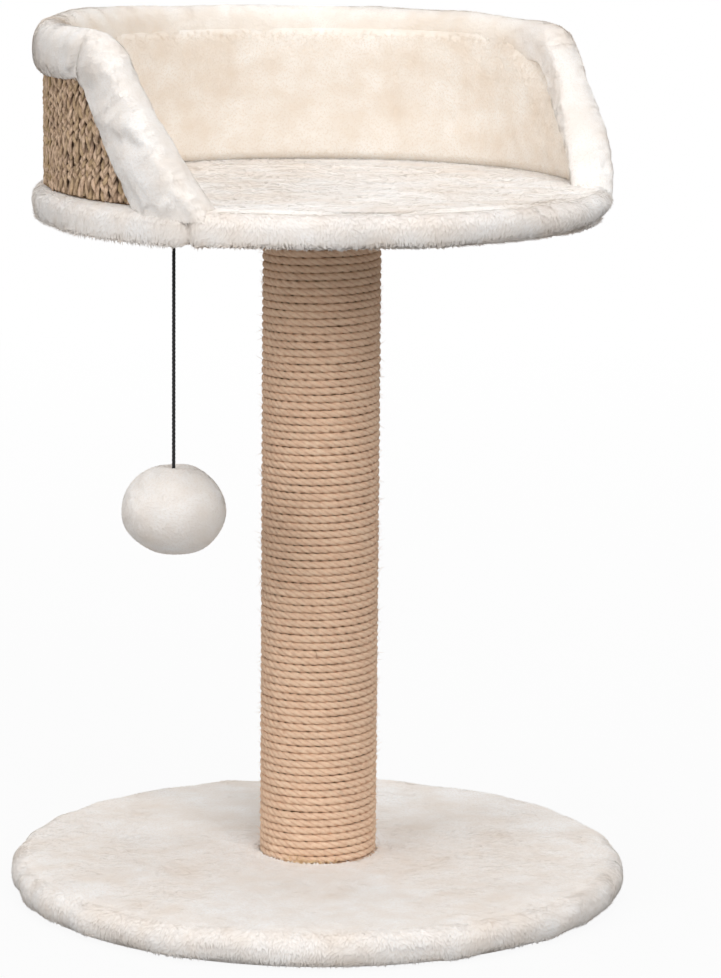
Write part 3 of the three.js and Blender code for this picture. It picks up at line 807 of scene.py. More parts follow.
def twisted_cord(name, lines, radius, strands, lay, points_round, valley, flatten=1.0, rows=1):
    """Closed tubes of twisted strands.

    Each line is (points, ways out, tangents, extra twist, size, tint), where twist and size are
    a number or one for each point. The map "Lay" runs along and round a cord. The map "OFBake"
    lays the cords in rows or columns."""
    all_points, all_faces, heights, tints, lay_map, bake_map = [], [], [], [], [], []
    count = 0
    turn = np.arange(points_round) / points_round
    crest = np.abs(np.cos(math.pi * turn * strands))
    reach = radius * (valley + (1 - valley) * crest ** 0.8)
    for index, (path, out, tangent, twist, size, tint) in enumerate(lines):
        along = np.concatenate([[0], np.cumsum(np.linalg.norm(np.diff(path, axis=0), axis=1))])
        aside = np.cross(tangent, out)
        twist, size = (np.broadcast_to(value, len(path))[:, None] for value in (twist, size))
        angle = 2 * math.pi * (turn[None] + along[:, None] / lay) + twist
        offset = (
            out[:, None] * (flatten * size * reach * np.cos(angle))[:, :, None]
            + aside[:, None] * (size * reach * np.sin(angle))[:, :, None]
        )
        ring = (path[:, None] + offset).reshape(-1, 3)
        all_points += [ring, path[[0, -1]]]
        heights += [np.tile(crest, len(path)), [0.5, 0.5]]
        tints += [np.full(len(ring) + 2, tint)]
        here = np.arange(len(path) - 1)[:, None] * points_round
        near = np.arange(points_round)[None]
        far = (near + 1) % points_round
        beyond = here + points_round
        quads = np.stack([here + near, here + far, beyond + far, beyond + near], 2)
        all_faces += (quads.reshape(-1, 4) + count).tolist()
        share = along / along[-1]
        start, end = (
            np.broadcast_arrays(side[:, None], near)[0] for side in (share[:-1], share[1:])
        )
        low, high = (np.broadcast_to((near + i) / points_round, start.shape) for i in (0, 1))
        corners_u = np.stack([start, start, end, end], 2).reshape(-1)
        corners_v = np.stack([low, high, high, low], 2).reshape(-1)
        lay_map.append(np.stack([corners_u * along[-1], corners_v], 1))
        bake_map.append(bake_cells(corners_u, corners_v, index, len(lines), rows))
        last = (len(path) - 1) * points_round
        tip = count + len(ring)
        turned = [(i, (i + 1) % points_round) for i in range(points_round)]
        caps = [[tip, count + after, count + i] for i, after in turned]
        caps += [[tip + 1, count + last + i, count + last + after] for i, after in turned]
        all_faces += caps
        blank = np.tile([[0.001, 0.001], [0.003, 0.001], [0.001, 0.003]], (len(caps), 1))
        lay_map.append(blank)
        bake_map.append(blank)
        count += len(ring) + 2
    cord = new_mesh(name, np.concatenate(all_points), all_faces)
    # The attribute "height" marks crests and grooves for the painted light and shade of
    # strand_finish.
    add_attribute(cord, "height", np.concatenate(heights))
    add_attribute(cord, "tint", np.concatenate(tints))
    add_map(cord, "Lay", np.concatenate(lay_map))
    add_map(cord, "OFBake", np.concatenate(bake_map))
    return cord


def bake_cells(along, round_it, index, lines, rows):
    """Where a cord's corners lie in its bake: a long cord in rows, many cords side by side."""
    if lines > 1:
        column, row = divmod(index, rows)
        across = (column + 0.04 + 0.92 * round_it) / math.ceil(lines / rows)
        return np.stack([across, (row + 0.01 + 0.98 * along) / rows], 1)
    row = np.floor(np.repeat(along.reshape(-1, 4).min(1), 4) * rows + 1e-6)
    return np.stack([along * rows - row, (row + 0.04 + 0.92 * round_it) / rows], 1)


HAIR_FACES = np.array([[0, 2, 1], [0, 1, 3], [1, 2, 3], [2, 0, 3]])
FIBRES, FRAYED_FIBRES = 2600, 90
FRAYED_END = math.radians(228)  # where the rope's lower end shows, from +X towards +Y


class WindRope(bpy.types.Operator):
    """Winds the jute rope round the post in three lengths, each twisted from three strands"""

    bl_idname = "scratching_post.rope"
    bl_label = "Rope"

    def execute(self, context):
        rope = sizes("rope")
        depth = (POST_RADIUS - TUBE_RADIUS - FIT) / 2  # half the rope's thickness on the tube
        radius = rope.pitch * 0.545
        middle = POST_RADIUS - depth
        low, high = POST_LOW + radius, POST_HIGH - radius
        turns = (high - low) / rope.pitch
        step = 0.0016  # between rings of points along the rope
        # The jute gets painted light on its strands' crests and painted shade in its grooves.
        finish = strand_finish("jute rope", rope, (260, 22, 1), 0.0005, 0.8)
        lengths = ("rope_low", "rope_middle", "rope_high")
        for index, name in enumerate(lengths):
            first, last = turns * index / len(lengths), turns * (index + 1) / len(lengths)
            first = first or -0.96
            count = round((last - first) * 2 * math.pi * middle / step)
            turned = np.linspace(first, last, count + 1)
            angle = 2 * math.pi * turned
            out = xyz(np.cos(angle), np.sin(angle), 0)
            run = xyz(angle * middle, 0, 0)
            sag = 0.00013 * ripple(run, 0.06, 52) * ((turned > 0.5) & (turned < turns - 0.5))
            # The thin lower end fills the wedge under the first turn.
            taper = (turned + 1).clip(0, 1)
            path = out * (middle + 0.00012 * ripple(run, 0.04, 53) + depth * (1 - taper))[:, None]
            wound = low + rope.pitch * turned + sag
            path[:, 2] = np.where(turned < 0, POST_LOW + radius * taper, wound)
            tangent = unit(np.gradient(path, axis=0))
            out = square_to(out, tangent)
            twist = 2 * math.pi * first * 2 * math.pi * middle / rope.lay
            twist = twist + 0.5 * ripple(run, 0.05, 54)
            size = taper * (1 + 0.035 * ripple(run, 0.012, 55))
            lines = [(path, out, tangent, twist, size, 0.0)]
            cord = twisted_cord(
                name, lines, radius, 3, rope.lay, 12, 0.76,
                flatten=depth / radius, rows=math.ceil(last - first),
            )
            finished(cord, finish, stands_for=["post_rope"])
        self.grow_fuzz(rope)
        return {"FINISHED"}

    def grow_fuzz(self, rope):
        """Loose fibres that stand off the rope, and its frayed end at the front of its foot."""
        hair = fibre_finish("jute fibres", rope.light, rope.middle, 0.004)
        yellow = fibre_finish("frayed jute", tone(255, 230, 190), tone(238, 200, 152), 0.003)
        random = np.random.default_rng(51)
        around = random.uniform(0, 2 * math.pi, FIBRES)
        height = random.uniform(POST_LOW + 0.004, POST_HIGH - 0.004, FIBRES)
        fuzz = self.hairs("rope_fibres", around, height, 0.00018, (0.003, 0.007), 0.4, random)
        finished(fuzz, hair)
        around = random.normal(FRAYED_END, 0.24, FRAYED_FIBRES)
        height = random.uniform(BASE_TOP - 0.001, BASE_TOP + 0.0012, FRAYED_FIBRES)
        frayed = self.hairs("rope_frayed_end", around, height, 0.00035, (0.004, 0.009), 0.2, random)
        finished(frayed, yellow)

    def hairs(self, name, around, height, thick, lengths, stand_off, random):
        """Closed, three-sided hairs rooted in the rope at those angles and heights."""
        count = len(around)
        out = xyz(np.cos(around), np.sin(around), 0)
        aside = xyz(-np.sin(around), np.cos(around), 0)
        root = out * (POST_RADIUS - 0.0006)
        root[:, 2] = height
        way = aside * random.normal(0, 1, (count, 1))
        way += out * random.uniform(0.4, 1.4, (count, 1)) * stand_off
        way[:, 2] += random.normal(0, 0.4, count)
        way = unit(way)
        up = unit(np.cross(way, out))
        back = np.cross(up, way)
        corners = [
            root + thick * (up * math.cos(third) + back * math.sin(third))
            for third in (0, 2 * math.pi / 3, 4 * math.pi / 3)
        ]
        tip = root + way * random.uniform(*lengths, (count, 1))
        return new_slivers(name, [*corners, tip], HAIR_FACES)


# ---- Wall ------------------------------------------------------------------------------------

def wall_shell(name, radius, low, high, thickness):
    """A thin curved wall, cut along the arms' slant. It thickens outwards from its radius."""
    deselect()
    bpy.ops.mesh.primitive_cylinder_add(
        vertices=192, radius=radius, depth=high - low, location=(0, 0, (low + high) / 2),
        end_fill_type="NOTHING",
    )
    shell = bpy.context.object
    shell.name = name
    settle(shell)
    choose(shell, lambda middle, along: abs(along.z) > 0.01, "EDGE")
    bpy.ops.mesh.subdivide(number_cuts=13)
    bpy.ops.mesh.select_all(action="SELECT")
    normal = Vector((0, -math.sin(ARM_SLANT), math.cos(ARM_SLANT)))
    bpy.ops.mesh.bisect(
        plane_co=(0, edge_y(SEAT_TOP), SEAT_TOP), plane_no=normal, clear_outer=True,
        clear_inner=False,
    )
    leave()
    modify(shell, "SOLIDIFY", thickness=thickness, offset=1)
    settle(shell)
    return shell


def away_from_arms(points):
    """0 under the arms' bindings, 1 where the lining and the roll are free of them."""
    return ramp(-beside_arm(points, points[:, 2], LINING_RADIUS), 0.024, 0.020)


class AddLining(bpy.types.Operator):
    """Models the plush lining on the inside of the wall, and its pile"""

    bl_idname = "scratching_post.lining"
    bl_label = "Lining"

    def execute(self, context):
        plush = sizes("plush")
        thickness = 0.0024
        radius = LINING_RADIUS - thickness
        shell = wall_shell("nest_lining", radius, SEAT_TOP - 0.0015, WALL_HIGH, thickness)

        def pad(points, normals):
            inner = (normals * outward(points)).sum(1) < 0
            swell = (0.0004 - 0.0005 * ripple(points, 0.08, 61)).clip(0, 0.001)
            rise = ramp(points[:, 2], 0.510, 0.050)
            tuck = 0.0016 * ramp(points[:, 2], 0.566, 0.008)
            swell += (0.0072 * rise * rise * (3 - 2 * rise) - tuck) * away_from_arms(points)
            return -unit(outward(points)) * (swell * inner)[:, None]

        move_points(shell, pad)
        backing, tufted = plush_pair("lining", plush.lining, plush.lining_shade)
        finished(shell, backing, stands_for=["wall_lining"])

        def inside(middle, normal):
            inward = (normal * unit(outward(middle))).sum(1) < -0.5
            return inward & (middle[:, 2] < WALL_HIGH - 0.003)

        downward = all_toward(0.3, 0, -1)
        grown = grow_piles(shell, tufted, [
            ("lining_pile", 28000, plush.short_pile, 1.50, downward, inside, 62),
        ])
        run = 2 * edge_bearing(LINING_RADIUS, SEAT_TOP) * LINING_RADIUS
        return {"FINISHED"}


class PlaitSeagrass(bpy.types.Operator):
    """Covers the outside of the wall with upright plaits of seagrass, each of three strands"""

    bl_idname = "scratching_post.seagrass"
    bl_label = "Seagrass"

    def execute(self, context):
        grass = sizes("seagrass")
        low = SEAT_TOP - 0.0012
        backing = wall_shell("seagrass_backing", CORE_RADIUS + FIT, low, WALL_HIGH, 0.0008)
        # Painted shade: the backing between the plaits is coloured dark, as the shade in the gaps.
        dark = [0.7 * value for value in grass.middle]
        finish = grained_finish("seagrass backing", dark, grass.dark, 0.003, (1, 1, 0.3))
        finished(backing, finish, stands_for=["seagrass_mat"])

        random = np.random.default_rng(71)
        radius = 0.0020
        middle = MAT_RADIUS - 0.0021
        spread = grass.plait_width / middle
        limit = edge_bearing(MAT_RADIUS, WALL_LOW)
        columns = int(2 * limit / spread)
        step = 0.0019  # between rings of points along a strand
        lines = []
        for column in range(columns):
            bearing = (column + 0.5 - columns / 2) * spread
            front = MAT_RADIUS * math.cos(bearing)
            top = min(WALL_HIGH, SEAT_TOP + (front + ARM_LENGTH) * math.tan(ARM_SLANT) - 0.001)
            if top - low < 0.008:
                continue
            start = random.uniform(0, 2 * math.pi)
            for strand in range(3):
                count = max(4, round((top - low) / step))
                height = np.linspace(low + random.uniform(0, 0.0014), top, count)
                place = xyz(bearing * middle, 0, height)
                loose = place + (0.1 * strand, 0, 0)
                phase = 2 * math.pi * (height / grass.round + strand / 3) + start
                phase += 0.7 * ripple(place, 0.03, 75) + 0.25 * ripple(loose, 0.02, 77)
                aside = grass.plait_width * (0.30 + 0.05 * ripple(loose, 0.02, 73)) * np.sin(phase)
                aside += 0.0007 * ripple(place, 0.04, 78)
                angle = bearing + aside / middle
                out = xyz(np.sin(angle), np.cos(angle), 0)
                away = middle + 0.0008 * np.sin(2 * phase) + 0.0002 * ripple(loose, 0.01, 74)
                path = out * away[:, None]
                path[:, 2] = height
                tangent = unit(np.gradient(path, axis=0))
                out = square_to(out, tangent)
                size = 1 + 0.10 * ripple(loose, 0.012, 76)
                tint = max(0.0, random.normal(0.1, 0.5))
                lines.append((path, out, tangent, random.uniform(0, 6), size, tint))
        cords = twisted_cord(
            "seagrass_plaits", lines, radius, 2, 0.05, 8, 0.80, flatten=0.6, rows=3
        )
        # Painted light and shade: blades are lightest at their outermost 3 mm and darken inwards,
        # towards the painted shade in the gaps.
        lift = ramp(from_axis(numbers(cords.data.vertices, "co", 3)), MAT_RADIUS - 0.0030, 0.0030)
        cords.data.attributes["height"].data.foreach_set("value", lift.astype(np.float32))

        def roughen(points, normals):
            return normals * (0.0002 * ripple(points, 0.005, 72)).clip(-0.0004, 0.0002)[:, None]

        move_points(cords, roughen)
        green = [0.9 * grass.middle[0], 0.95 * grass.middle[1], 0.75 * grass.middle[2]]
        # A depth of 1.8 makes the painted shade in the gaps deep.
        blades = strand_finish("seagrass blades", grass, (160, 12, 1), 0.0007, 1.8, green)
        finished(cords, blades)
        return {"FINISHED"}


# ---- Padded pieces ---------------------------------------------------------------------------

def loft(name, rings):
    """A closed skin through rows of closed rings of points."""
    count = len(rings[0])
    points = [point for ring in rings for point in ring]
    faces = []
    for row in range(len(rings) - 1):
        here, there = row * count, (row + 1) * count
        for i in range(count):
            after = (i + 1) % count
            faces.append((here + i, here + after, there + after, there + i))
    faces.append(tuple(reversed(range(count))))
    faces.append(tuple((len(rings) - 1) * count + i for i in range(count)))
    piece = new_mesh(name, points, faces)
    choose_all(piece)
    bpy.ops.mesh.normals_make_consistent(inside=False)
    leave()
    return piece


def oblong(half_length, half_width, squareness, count):
    """Points of a rounded oblong, between an ellipse (2) and a rectangle (higher values)."""
    angles = [2 * math.pi * i / count for i in range(count)]
    bend = lambda value: math.copysign(abs(value) ** (2 / squareness), value)
    return [(half_length * bend(math.cos(a)), half_width * bend(math.sin(a))) for a in angles]


def remesh(piece, voxel):
    """Gives overlapping closed skins one skin of faces that are a voxel wide."""
    activate(piece)
    piece.data.remesh_voxel_size = voxel
    bpy.ops.object.voxel_remesh()


def group_points(piece, name, test):
    """Puts the points that pass the test in a vertex group of that name."""
    points = numbers(piece.data.vertices, "co", 3).astype(float)
    group = piece.vertex_groups.new(name=name)
    group.add(np.flatnonzero(test(points)).tolist(), 1.0, "REPLACE")
    return points


CLOTH_FRAMES = 20


def stuff(piece, cap, held):
    """Points for which held() is true stay, and no point moves further than cap."""
    rest = group_points(piece, "held", held)
    modifier = piece.modifiers.new("Cloth", "CLOTH")
    cloth = modifier.settings
    cloth.quality = 5
    cloth.use_pressure = True
    cloth.uniform_pressure_force = 4.0
    cloth.vertex_group_mass = "held"
    cloth.shrink_min = -0.03  # the skin is cut that share larger than it lies
    cloth.effector_weights.gravity = 0
    modifier.point_cache.frame_start, modifier.point_cache.frame_end = 1, CLOTH_FRAMES
    for number in range(1, CLOTH_FRAMES + 1):
        bpy.context.scene.frame_set(number)
    activate(piece)
    bpy.ops.object.modifier_apply(modifier=modifier.name)
    bpy.context.scene.frame_set(1)
    moved = numbers(piece.data.vertices, "co", 3).astype(float) - rest
    far = np.linalg.norm(moved, axis=1, keepdims=True)
    moved *= np.minimum(1, cap / np.maximum(far, 1e-9))
    piece.data.vertices.foreach_set("co", (rest + moved).astype(np.float32).ravel())
    piece.data.update()
    piece.vertex_groups.clear()
    modify(piece, "SUBSURF", levels=1, render_levels=1)
    settle(piece)


def remove_shape(piece, tool):
    """Cuts a closed tool out of a piece and deletes the tool."""
    modify(piece, "BOOLEAN", operation="DIFFERENCE", object=tool, solver="EXACT")
    bpy.data.objects.remove(tool)


def wall_block(gap):
    """A solid of the whole wall, grown by a gap, that padded pieces are folded over."""
    inner = LINING_INNER - gap
    outer = MAT_RADIUS + gap
    low = SEAT_BOARD_HIGH + PLUSH_SKIN
    return wall_shell("wall_block", inner, low, WALL_HIGH + gap, outer - inner)


def seat_block():
    """The seat's cover as a solid, which the bindings' feet are pressed over."""
    block = disc_cover(
        "seat_block", SEAT_COVER_RADIUS, SEAT_LOW, SEAT_TOP - 0.0012, 0.0100, 0.150, [0.1]
    )
    choose(block, lambda middle, along: False, "EDGE")
    bpy.ops.mesh.select_non_manifold()
    bpy.ops.mesh.edge_face_add()
    leave()
    return block


LINING_INNER = 0.1683  # radius of the lining's inner side
EDGE_RADIUS = (LINING_INNER + MAT_RADIUS) / 2  # where the roll and the bindings have their middle
ROLL_MIDDLE = ROLL_HIGH - 0.0195
ROLL_TIP = 0.017  # length over which the roll narrows at each end
NOSE = 0.010  # how far the roll's tips stand ahead of the slanted edge
BINDING_LOW, BINDING_HIGH = SEAT_TOP - 0.010, ROLL_HIGH - 0.027
SEAM_HEIGHT = 0.5500  # where the roll's skin is parted from the bindings'
FOLDS_HEIGHT = 0.552  # where the gathered folds start


def roll_rings(half_width, half_height):
    """Rings of the roll, from one tip round to the other."""
    section = oblong(1.0, 1.0, 2.25, 24)
    half_length = EDGE_RADIUS * edge_bearing(EDGE_RADIUS, ROLL_MIDDLE, NOSE)
    tips = []
    for i in range(6):
        angle = (i + 1) * math.pi / 14
        share = 1 - ROLL_TIP * (1 - math.cos(angle)) / half_length
        tips.append((share, math.sin(angle) ** 0.9))
    straight = 1 - ROLL_TIP / half_length
    stations = [*tips, *((straight * (1 - i / 30), 1.0) for i in range(61))]
    stations += [(-share, scale) for share, scale in reversed(tips)]
    rings = []
    for share, scale in stations:
        ring = []
        lift = 0.0028 * math.exp(-(((share + 0.30) / (0.60 if share < -0.30 else 0.32)) ** 2))
        drop = 0.0060 * max(0.0, (share - 0.45) / 0.55) ** 1.3 - lift
        for across, up in section:
            height = ROLL_MIDDLE + (scale * half_height - drop * (up > 0)) * up
            bearing = share * edge_bearing(EDGE_RADIUS, height, NOSE)
            ring.append(on_nest(EDGE_RADIUS + scale * half_width * across, bearing, height))
        rings.append(ring)
    return rings


def arm_rings(side):
    """Rings of one arm's binding, which spreads to its foot outside and narrows inside."""
    rings = []
    last = 18
    for station in range(last + 1):
        height = BINDING_LOW + station / last * (BINDING_HIGH - BINDING_LOW)
        flare = max(0.0, (0.529 - height) / 0.045) ** 1.2
        outside, inside = 0.045 + 0.0165 * flare, 0.028 - 0.010 * flare
        edge = edge_bearing(EDGE_RADIUS, height)
        ring = []
        full = math.exp(-(((height - 0.496) / 0.045) ** 2))
        for along, across in oblong(1.0, 1.0, 2.5, 28):
            behind = inside + (outside - inside) * (0.5 + 0.5 * across)
            reach = along * (0.0105 if along > 0 else behind)
            thick = 0.0128 + (0.0042 * full if across > 0 else -0.0018 * full)
            bearing = side * (edge + reach / EDGE_RADIUS)
            ring.append(on_nest(EDGE_RADIUS + thick * across, bearing, height))
        rings.append(ring)
    return rings


def pucker(points, normals):
    """Folds that gather the skin where the roll's outer side meets a binding's rear edge."""
    height, away = points[:, 2] - FOLDS_HEIGHT, from_axis(points)
    along = beside_arm(points, FOLDS_HEIGHT + 0 * height, EDGE_RADIUS) + 0.047
    outer = ramp(away, 0.180, 0.008)
    fold = hump(along - 0.45 * height, 0.0034) * hump(height - 0.014, 0.018)
    rays = np.cos(np.arctan2(height, along) * 7) * np.exp(-np.hypot(height, along) / 0.016)
    depth = outer * (0.0048 * fold + 0.0008 * rays)
    spare = away - MAT_RADIUS - 0.0016
    return -normals * np.minimum(depth, spare.clip(0, 1))[:, None]


def inner_side(points):
    """How much of the lining's colour shows: all on the roll's inner side, none on the arms."""
    return ramp(from_axis(points), EDGE_RADIUS + 0.001, -0.013) * away_from_arms(points)


class AddNestCover(bpy.types.Operator):
    """Models the roll and the arms' bindings as one stuffed skin, parted at its seams, with pile"""

    bl_idname = "scratching_post.nest_cover"
    bl_label = "Roll and bindings"

    def execute(self, context):
        plush = sizes("plush")
        skin = self.stuffed_skin()
        warmer = (plush.lining, plush.lining_shade)
        backing, tufted = plush_pair("roll", plush.cream, plush.shade, warmer)
        parts = {
            "nest_roll": (lambda x: True, False, "top_roll", 0.8),
            "left_binding": (lambda x: x < 0, True, "left_arm_binding", 0.6),
            "right_binding": (lambda x: x > 0, True, "right_arm_binding", 0.6),
        }
        for name, (own_side, below, node, fill) in parts.items():
            piece = self.part(skin, name, own_side, below)
            points = numbers(piece.data.vertices, "co", 3).astype(float)
            add_attribute(piece, "warm", inner_side(points))
            finished(piece, backing, stands_for=[node])

        def shown(middle, normal):
            away, height = from_axis(middle), middle[:, 2]
            in_slot = (away > LINING_INNER - 0.0008) & (away < MAT_RADIUS + 0.0008)
            in_slot &= (middle[:, 1] > edge_y(height) + 0.0005) & (height < WALL_HIGH + 0.002)
            on_seat = (height < SEAT_TOP + 0.001) & (normal[:, 2] < -0.3)
            return ~in_slot & ~on_seat

        def beyond_seam(above):
            return lambda middle, normal: (
                shown(middle, normal) & ((middle[:, 2] > SEAM_HEIGHT) == above)
            )

        def toward_arms(points):
            """Along the roll from its middle to both arms, and on down the bindings."""
            side = (points[:, 0] / 0.06).clip(-1, 1)
            down = 0.03 + 0.14 * ramp(points[:, 2], SEAM_HEIGHT + 0.02, -0.04)
            return xyz(points[:, 1] * side, -points[:, 0] * side, -down)

        grow_piles(skin, tufted, [
            ("roll_pile", 46000, plush.short_pile, 1.50, toward_arms, beyond_seam(True), 83),
            ("binding_pile", 19000, plush.short_pile, 1.50, toward_arms, beyond_seam(False), 92),
        ], warm=inner_side)
        bpy.data.objects.remove(skin)
        return {"FINISHED"}

    def stuffed_skin(self):
        skin = loft("nest_cover", roll_rings(0.0140, 0.0180))
        arms = [loft("arm", arm_rings(side)) for side in (-1, 1)]
        activate(skin)
        for arm in arms:
            arm.select_set(True)
        bpy.ops.object.join()
        remesh(skin, 0.0034)

        def junction(points):
            near = np.abs(points[:, 2] - 0.556) < 0.022
            return near & (beside_arm(points, points[:, 2], EDGE_RADIUS) > -0.052)

        def held(points):
            over_wall = np.abs(from_axis(points) - EDGE_RADIUS) < 0.009
            return (over_wall & (points[:, 2] < ROLL_MIDDLE)) | (points[:, 2] < BINDING_LOW + 0.004)

        group_points(skin, "junction", junction)
        modify(skin, "SMOOTH", factor=0.6, iterations=12, vertex_group="junction")
        skin.vertex_groups.clear()
        stuff(skin, 0.0016, held)

        def undulate(points, normals):
            soft = 0.0005 * ripple(points, 0.09, 81) + 0.0001 * ripple(points, 0.022, 82)
            return normals * soft[:, None] + pucker(points, normals)

        move_points(skin, undulate)
        remove_shape(skin, wall_block(FIT))
        remove_shape(skin, seat_block())
        settle(skin)
        return skin

    def part(self, skin, name, own_side, below):
        """The skin above the seam, or one side of it below the seam, as a closed piece."""
        piece = skin.copy()
        piece.name, piece.data = name, skin.data.copy()
        bpy.context.scene.collection.objects.link(piece)
        choose_all(piece)
        bpy.ops.mesh.bisect(
            plane_co=(0, 0, SEAM_HEIGHT), plane_no=(0, 0, 1), use_fill=True,
            clear_outer=below, clear_inner=not below,
        )
        leave()
        choose(piece, lambda middle, normal: not own_side(middle.x))
        bpy.ops.mesh.delete(type="FACE")
        leave()
        settle(piece)
        return piece


# ---- Toy -------------------------------------------------------------------------------------

STAPLE_RADIUS = 0.0007  # of its wire


class AddToy(bpy.types.Operator):
    """Models the toy: a twisted string, its eye and knot, and a stuffed plush ball"""

    bl_idname = "scratching_post.toy"
    bl_label = "Toy"

    def execute(self, context):
        toy, plush = sizes("toy"), sizes("plush")
        centre = BALL_MIDDLE
        radius = toy.string / 2
        place = np.array([centre.x, centre.y, 0.0])
        black = self.black_finish(toy)
        string = self.string(place, radius)
        finished(string, black, "toy", ["toy_string"])
        eye = self.eye(place, radius)
        finished(eye, black, "toy_eye", ["toy_string_eye"])

        ball = self.ball(centre)
        backing, tufted = plush_pair("ball", plush.cream, plush.shade)
        finished(ball, backing, "toy", ["toy_ball"])
        off_string = lambda middle, normal: from_axis(middle - np.array(centre)) > 0.0022
        downward = all_toward(0.3, 0.2, -1)
        grown = grow_piles(ball, tufted, [
            ("toy_ball_pile", 10000, plush.short_pile, CLUMPED_LEAN, downward, off_string, 101),
        ], body="toy")
        return {"FINISHED"}

    def black_finish(self, toy):
        finish = Finish("black string", roughness=0.75)
        fibres = finish.noise(finish.lay("Lay", (300, 8, 1)), 1.0, 2.0)
        lighter = [3.2 * value + 0.004 for value in toy.black]
        return finish.paint(finish.blend(toy.black, lighter, fibres), fibres, 0.0002)

    def string(self, place, radius):
        heights = np.linspace(STRING_HIGH, BALL_MIDDLE.z, 181)
        path = xyz(place[0], place[1], heights)
        self.string_path = path[::6].tolist()
        out = np.tile([1.0, 0, 0], (len(path), 1))
        tangent = np.tile([0.0, 0, -1], (len(path), 1))
        lines = [(path, out, tangent, 0.0, 1.0, 0.0)]
        return twisted_cord("hanging_string", lines, radius, 3, 0.008, 12, 0.72, rows=8)

    def eye(self, place, radius):
        """The string round the staple's crown, closed by a knot."""
        away = Vector((place[0], place[1], 0)).normalized()
        loop = radius + STAPLE_RADIUS + FIT
        crown = EYE_HIGH.z - radius - loop
        turn = np.linspace(-math.pi / 2, 3 * math.pi / 2, 41)
        path = xyz(
            place[0] + loop * np.cos(turn) * away.x,
            place[1] + loop * np.cos(turn) * away.y,
            crown + loop * np.sin(turn),
        )
        tangent = unit(np.gradient(path, axis=0))
        out = unit(path - [place[0], place[1], crown])
        knot_middle = np.array([place[0], place[1], EYE_LOW.z + 0.003])
        turn = np.linspace(0, 2 * math.pi, 97)
        size = 0.00062
        trefoil = xyz(
            np.sin(turn) + 2 * np.sin(2 * turn),
            np.cos(turn) - 2 * np.cos(2 * turn),
            -1.6 * np.sin(3 * turn),
        )
        knot = trefoil * size + knot_middle
        knot_way = unit(np.gradient(knot, axis=0))
        knot_out = square_to(knot - knot_middle, knot_way)
        lines = [(path, out, tangent, 0.0, 1.0, 0.0), (knot, knot_out, knot_way, 0.0, 1.0, 0.0)]
        return twisted_cord("string_eye", lines, radius, 3, 0.008, 12, 0.72)

    def ball(self, centre):
        size = BALL_HIGH - BALL_LOW
        deselect()
        bpy.ops.mesh.primitive_uv_sphere_add(
            segments=72, ring_count=48, radius=0.5, location=centre - Vector((0, 0, 0.0018))
        )
        ball = bpy.context.object
        ball.name = "stuffed_ball"
        ball.scale = (size.x + 0.0016, size.y + 0.0016, size.z + 0.0026)
        settle(ball)

        def shape(points, normals):
            moved = normals * (0.0006 * ripple(points, 0.03, 103))[:, None]
            dimple = 0.0035 * hump(from_axis(points - np.array(centre)), 0.007)
            moved[:, 2] -= dimple * (points[:, 2] > centre.z)
            return moved

        move_points(ball, shape)
        return ball


# ---- Frame's own pieces, and the stage -------------------------------------------------------

class FinishFrame(bpy.types.Operator):
    """Gives the frame's boards, tube, plugs and fastenings their finishes"""

    bl_idname = "scratching_post.frame_finishes"
    bl_label = "Frame finishes"

    def execute(self, context):
        grained = (
            ("chipboard", (212, 181, 134), (160, 122, 80), 0.004, (1, 1, 1), 0.0002),
            ("felt", (222, 219, 212), (198, 194, 186), 0.0025, (1, 1, 1), 0.0003),
            ("paper_tube", (176, 142, 104), (146, 114, 80), 0.02, (1, 1, 0.2), 0.0002),
            ("softwood", (224, 198, 154), (192, 156, 108), 0.006, (1, 0.15, 1), 0.0002),
        )
        made = {"zinc_steel": metal_finish("zinc steel", tone(190, 194, 198))}
        for slot, light, dark, grain, squash, relief in grained:
            made[slot] = grained_finish(
                slot.replace("_", " "), tone(*light), tone(*dark), grain, squash, relief=relief
            )
        spare = {"cream_plush", "beige_plush", "jute", "seagrass", "black_string"}
        for part in frame["record"]["subparts"]:
            node, slot = frame["nodes"][part["node"]], part["material_slot"]
            if slot in spare:
                continue
            for index in range(max(1, len(node.material_slots))):
                if node.material_slots:
                    node.material_slots[index].material = made[slot]
                else:
                    node.data.materials.append(made[slot])
        return {"FINISHED"}


CAMERA_YAW = math.radians(0.56)
CAMERA_PITCH = math.radians(10.24)
CAMERA_ROLL = math.radians(0.495)
CAMERA_BEARING = math.radians(-33)
CAMERA_LENS = 153.6
SENSOR = 36.0


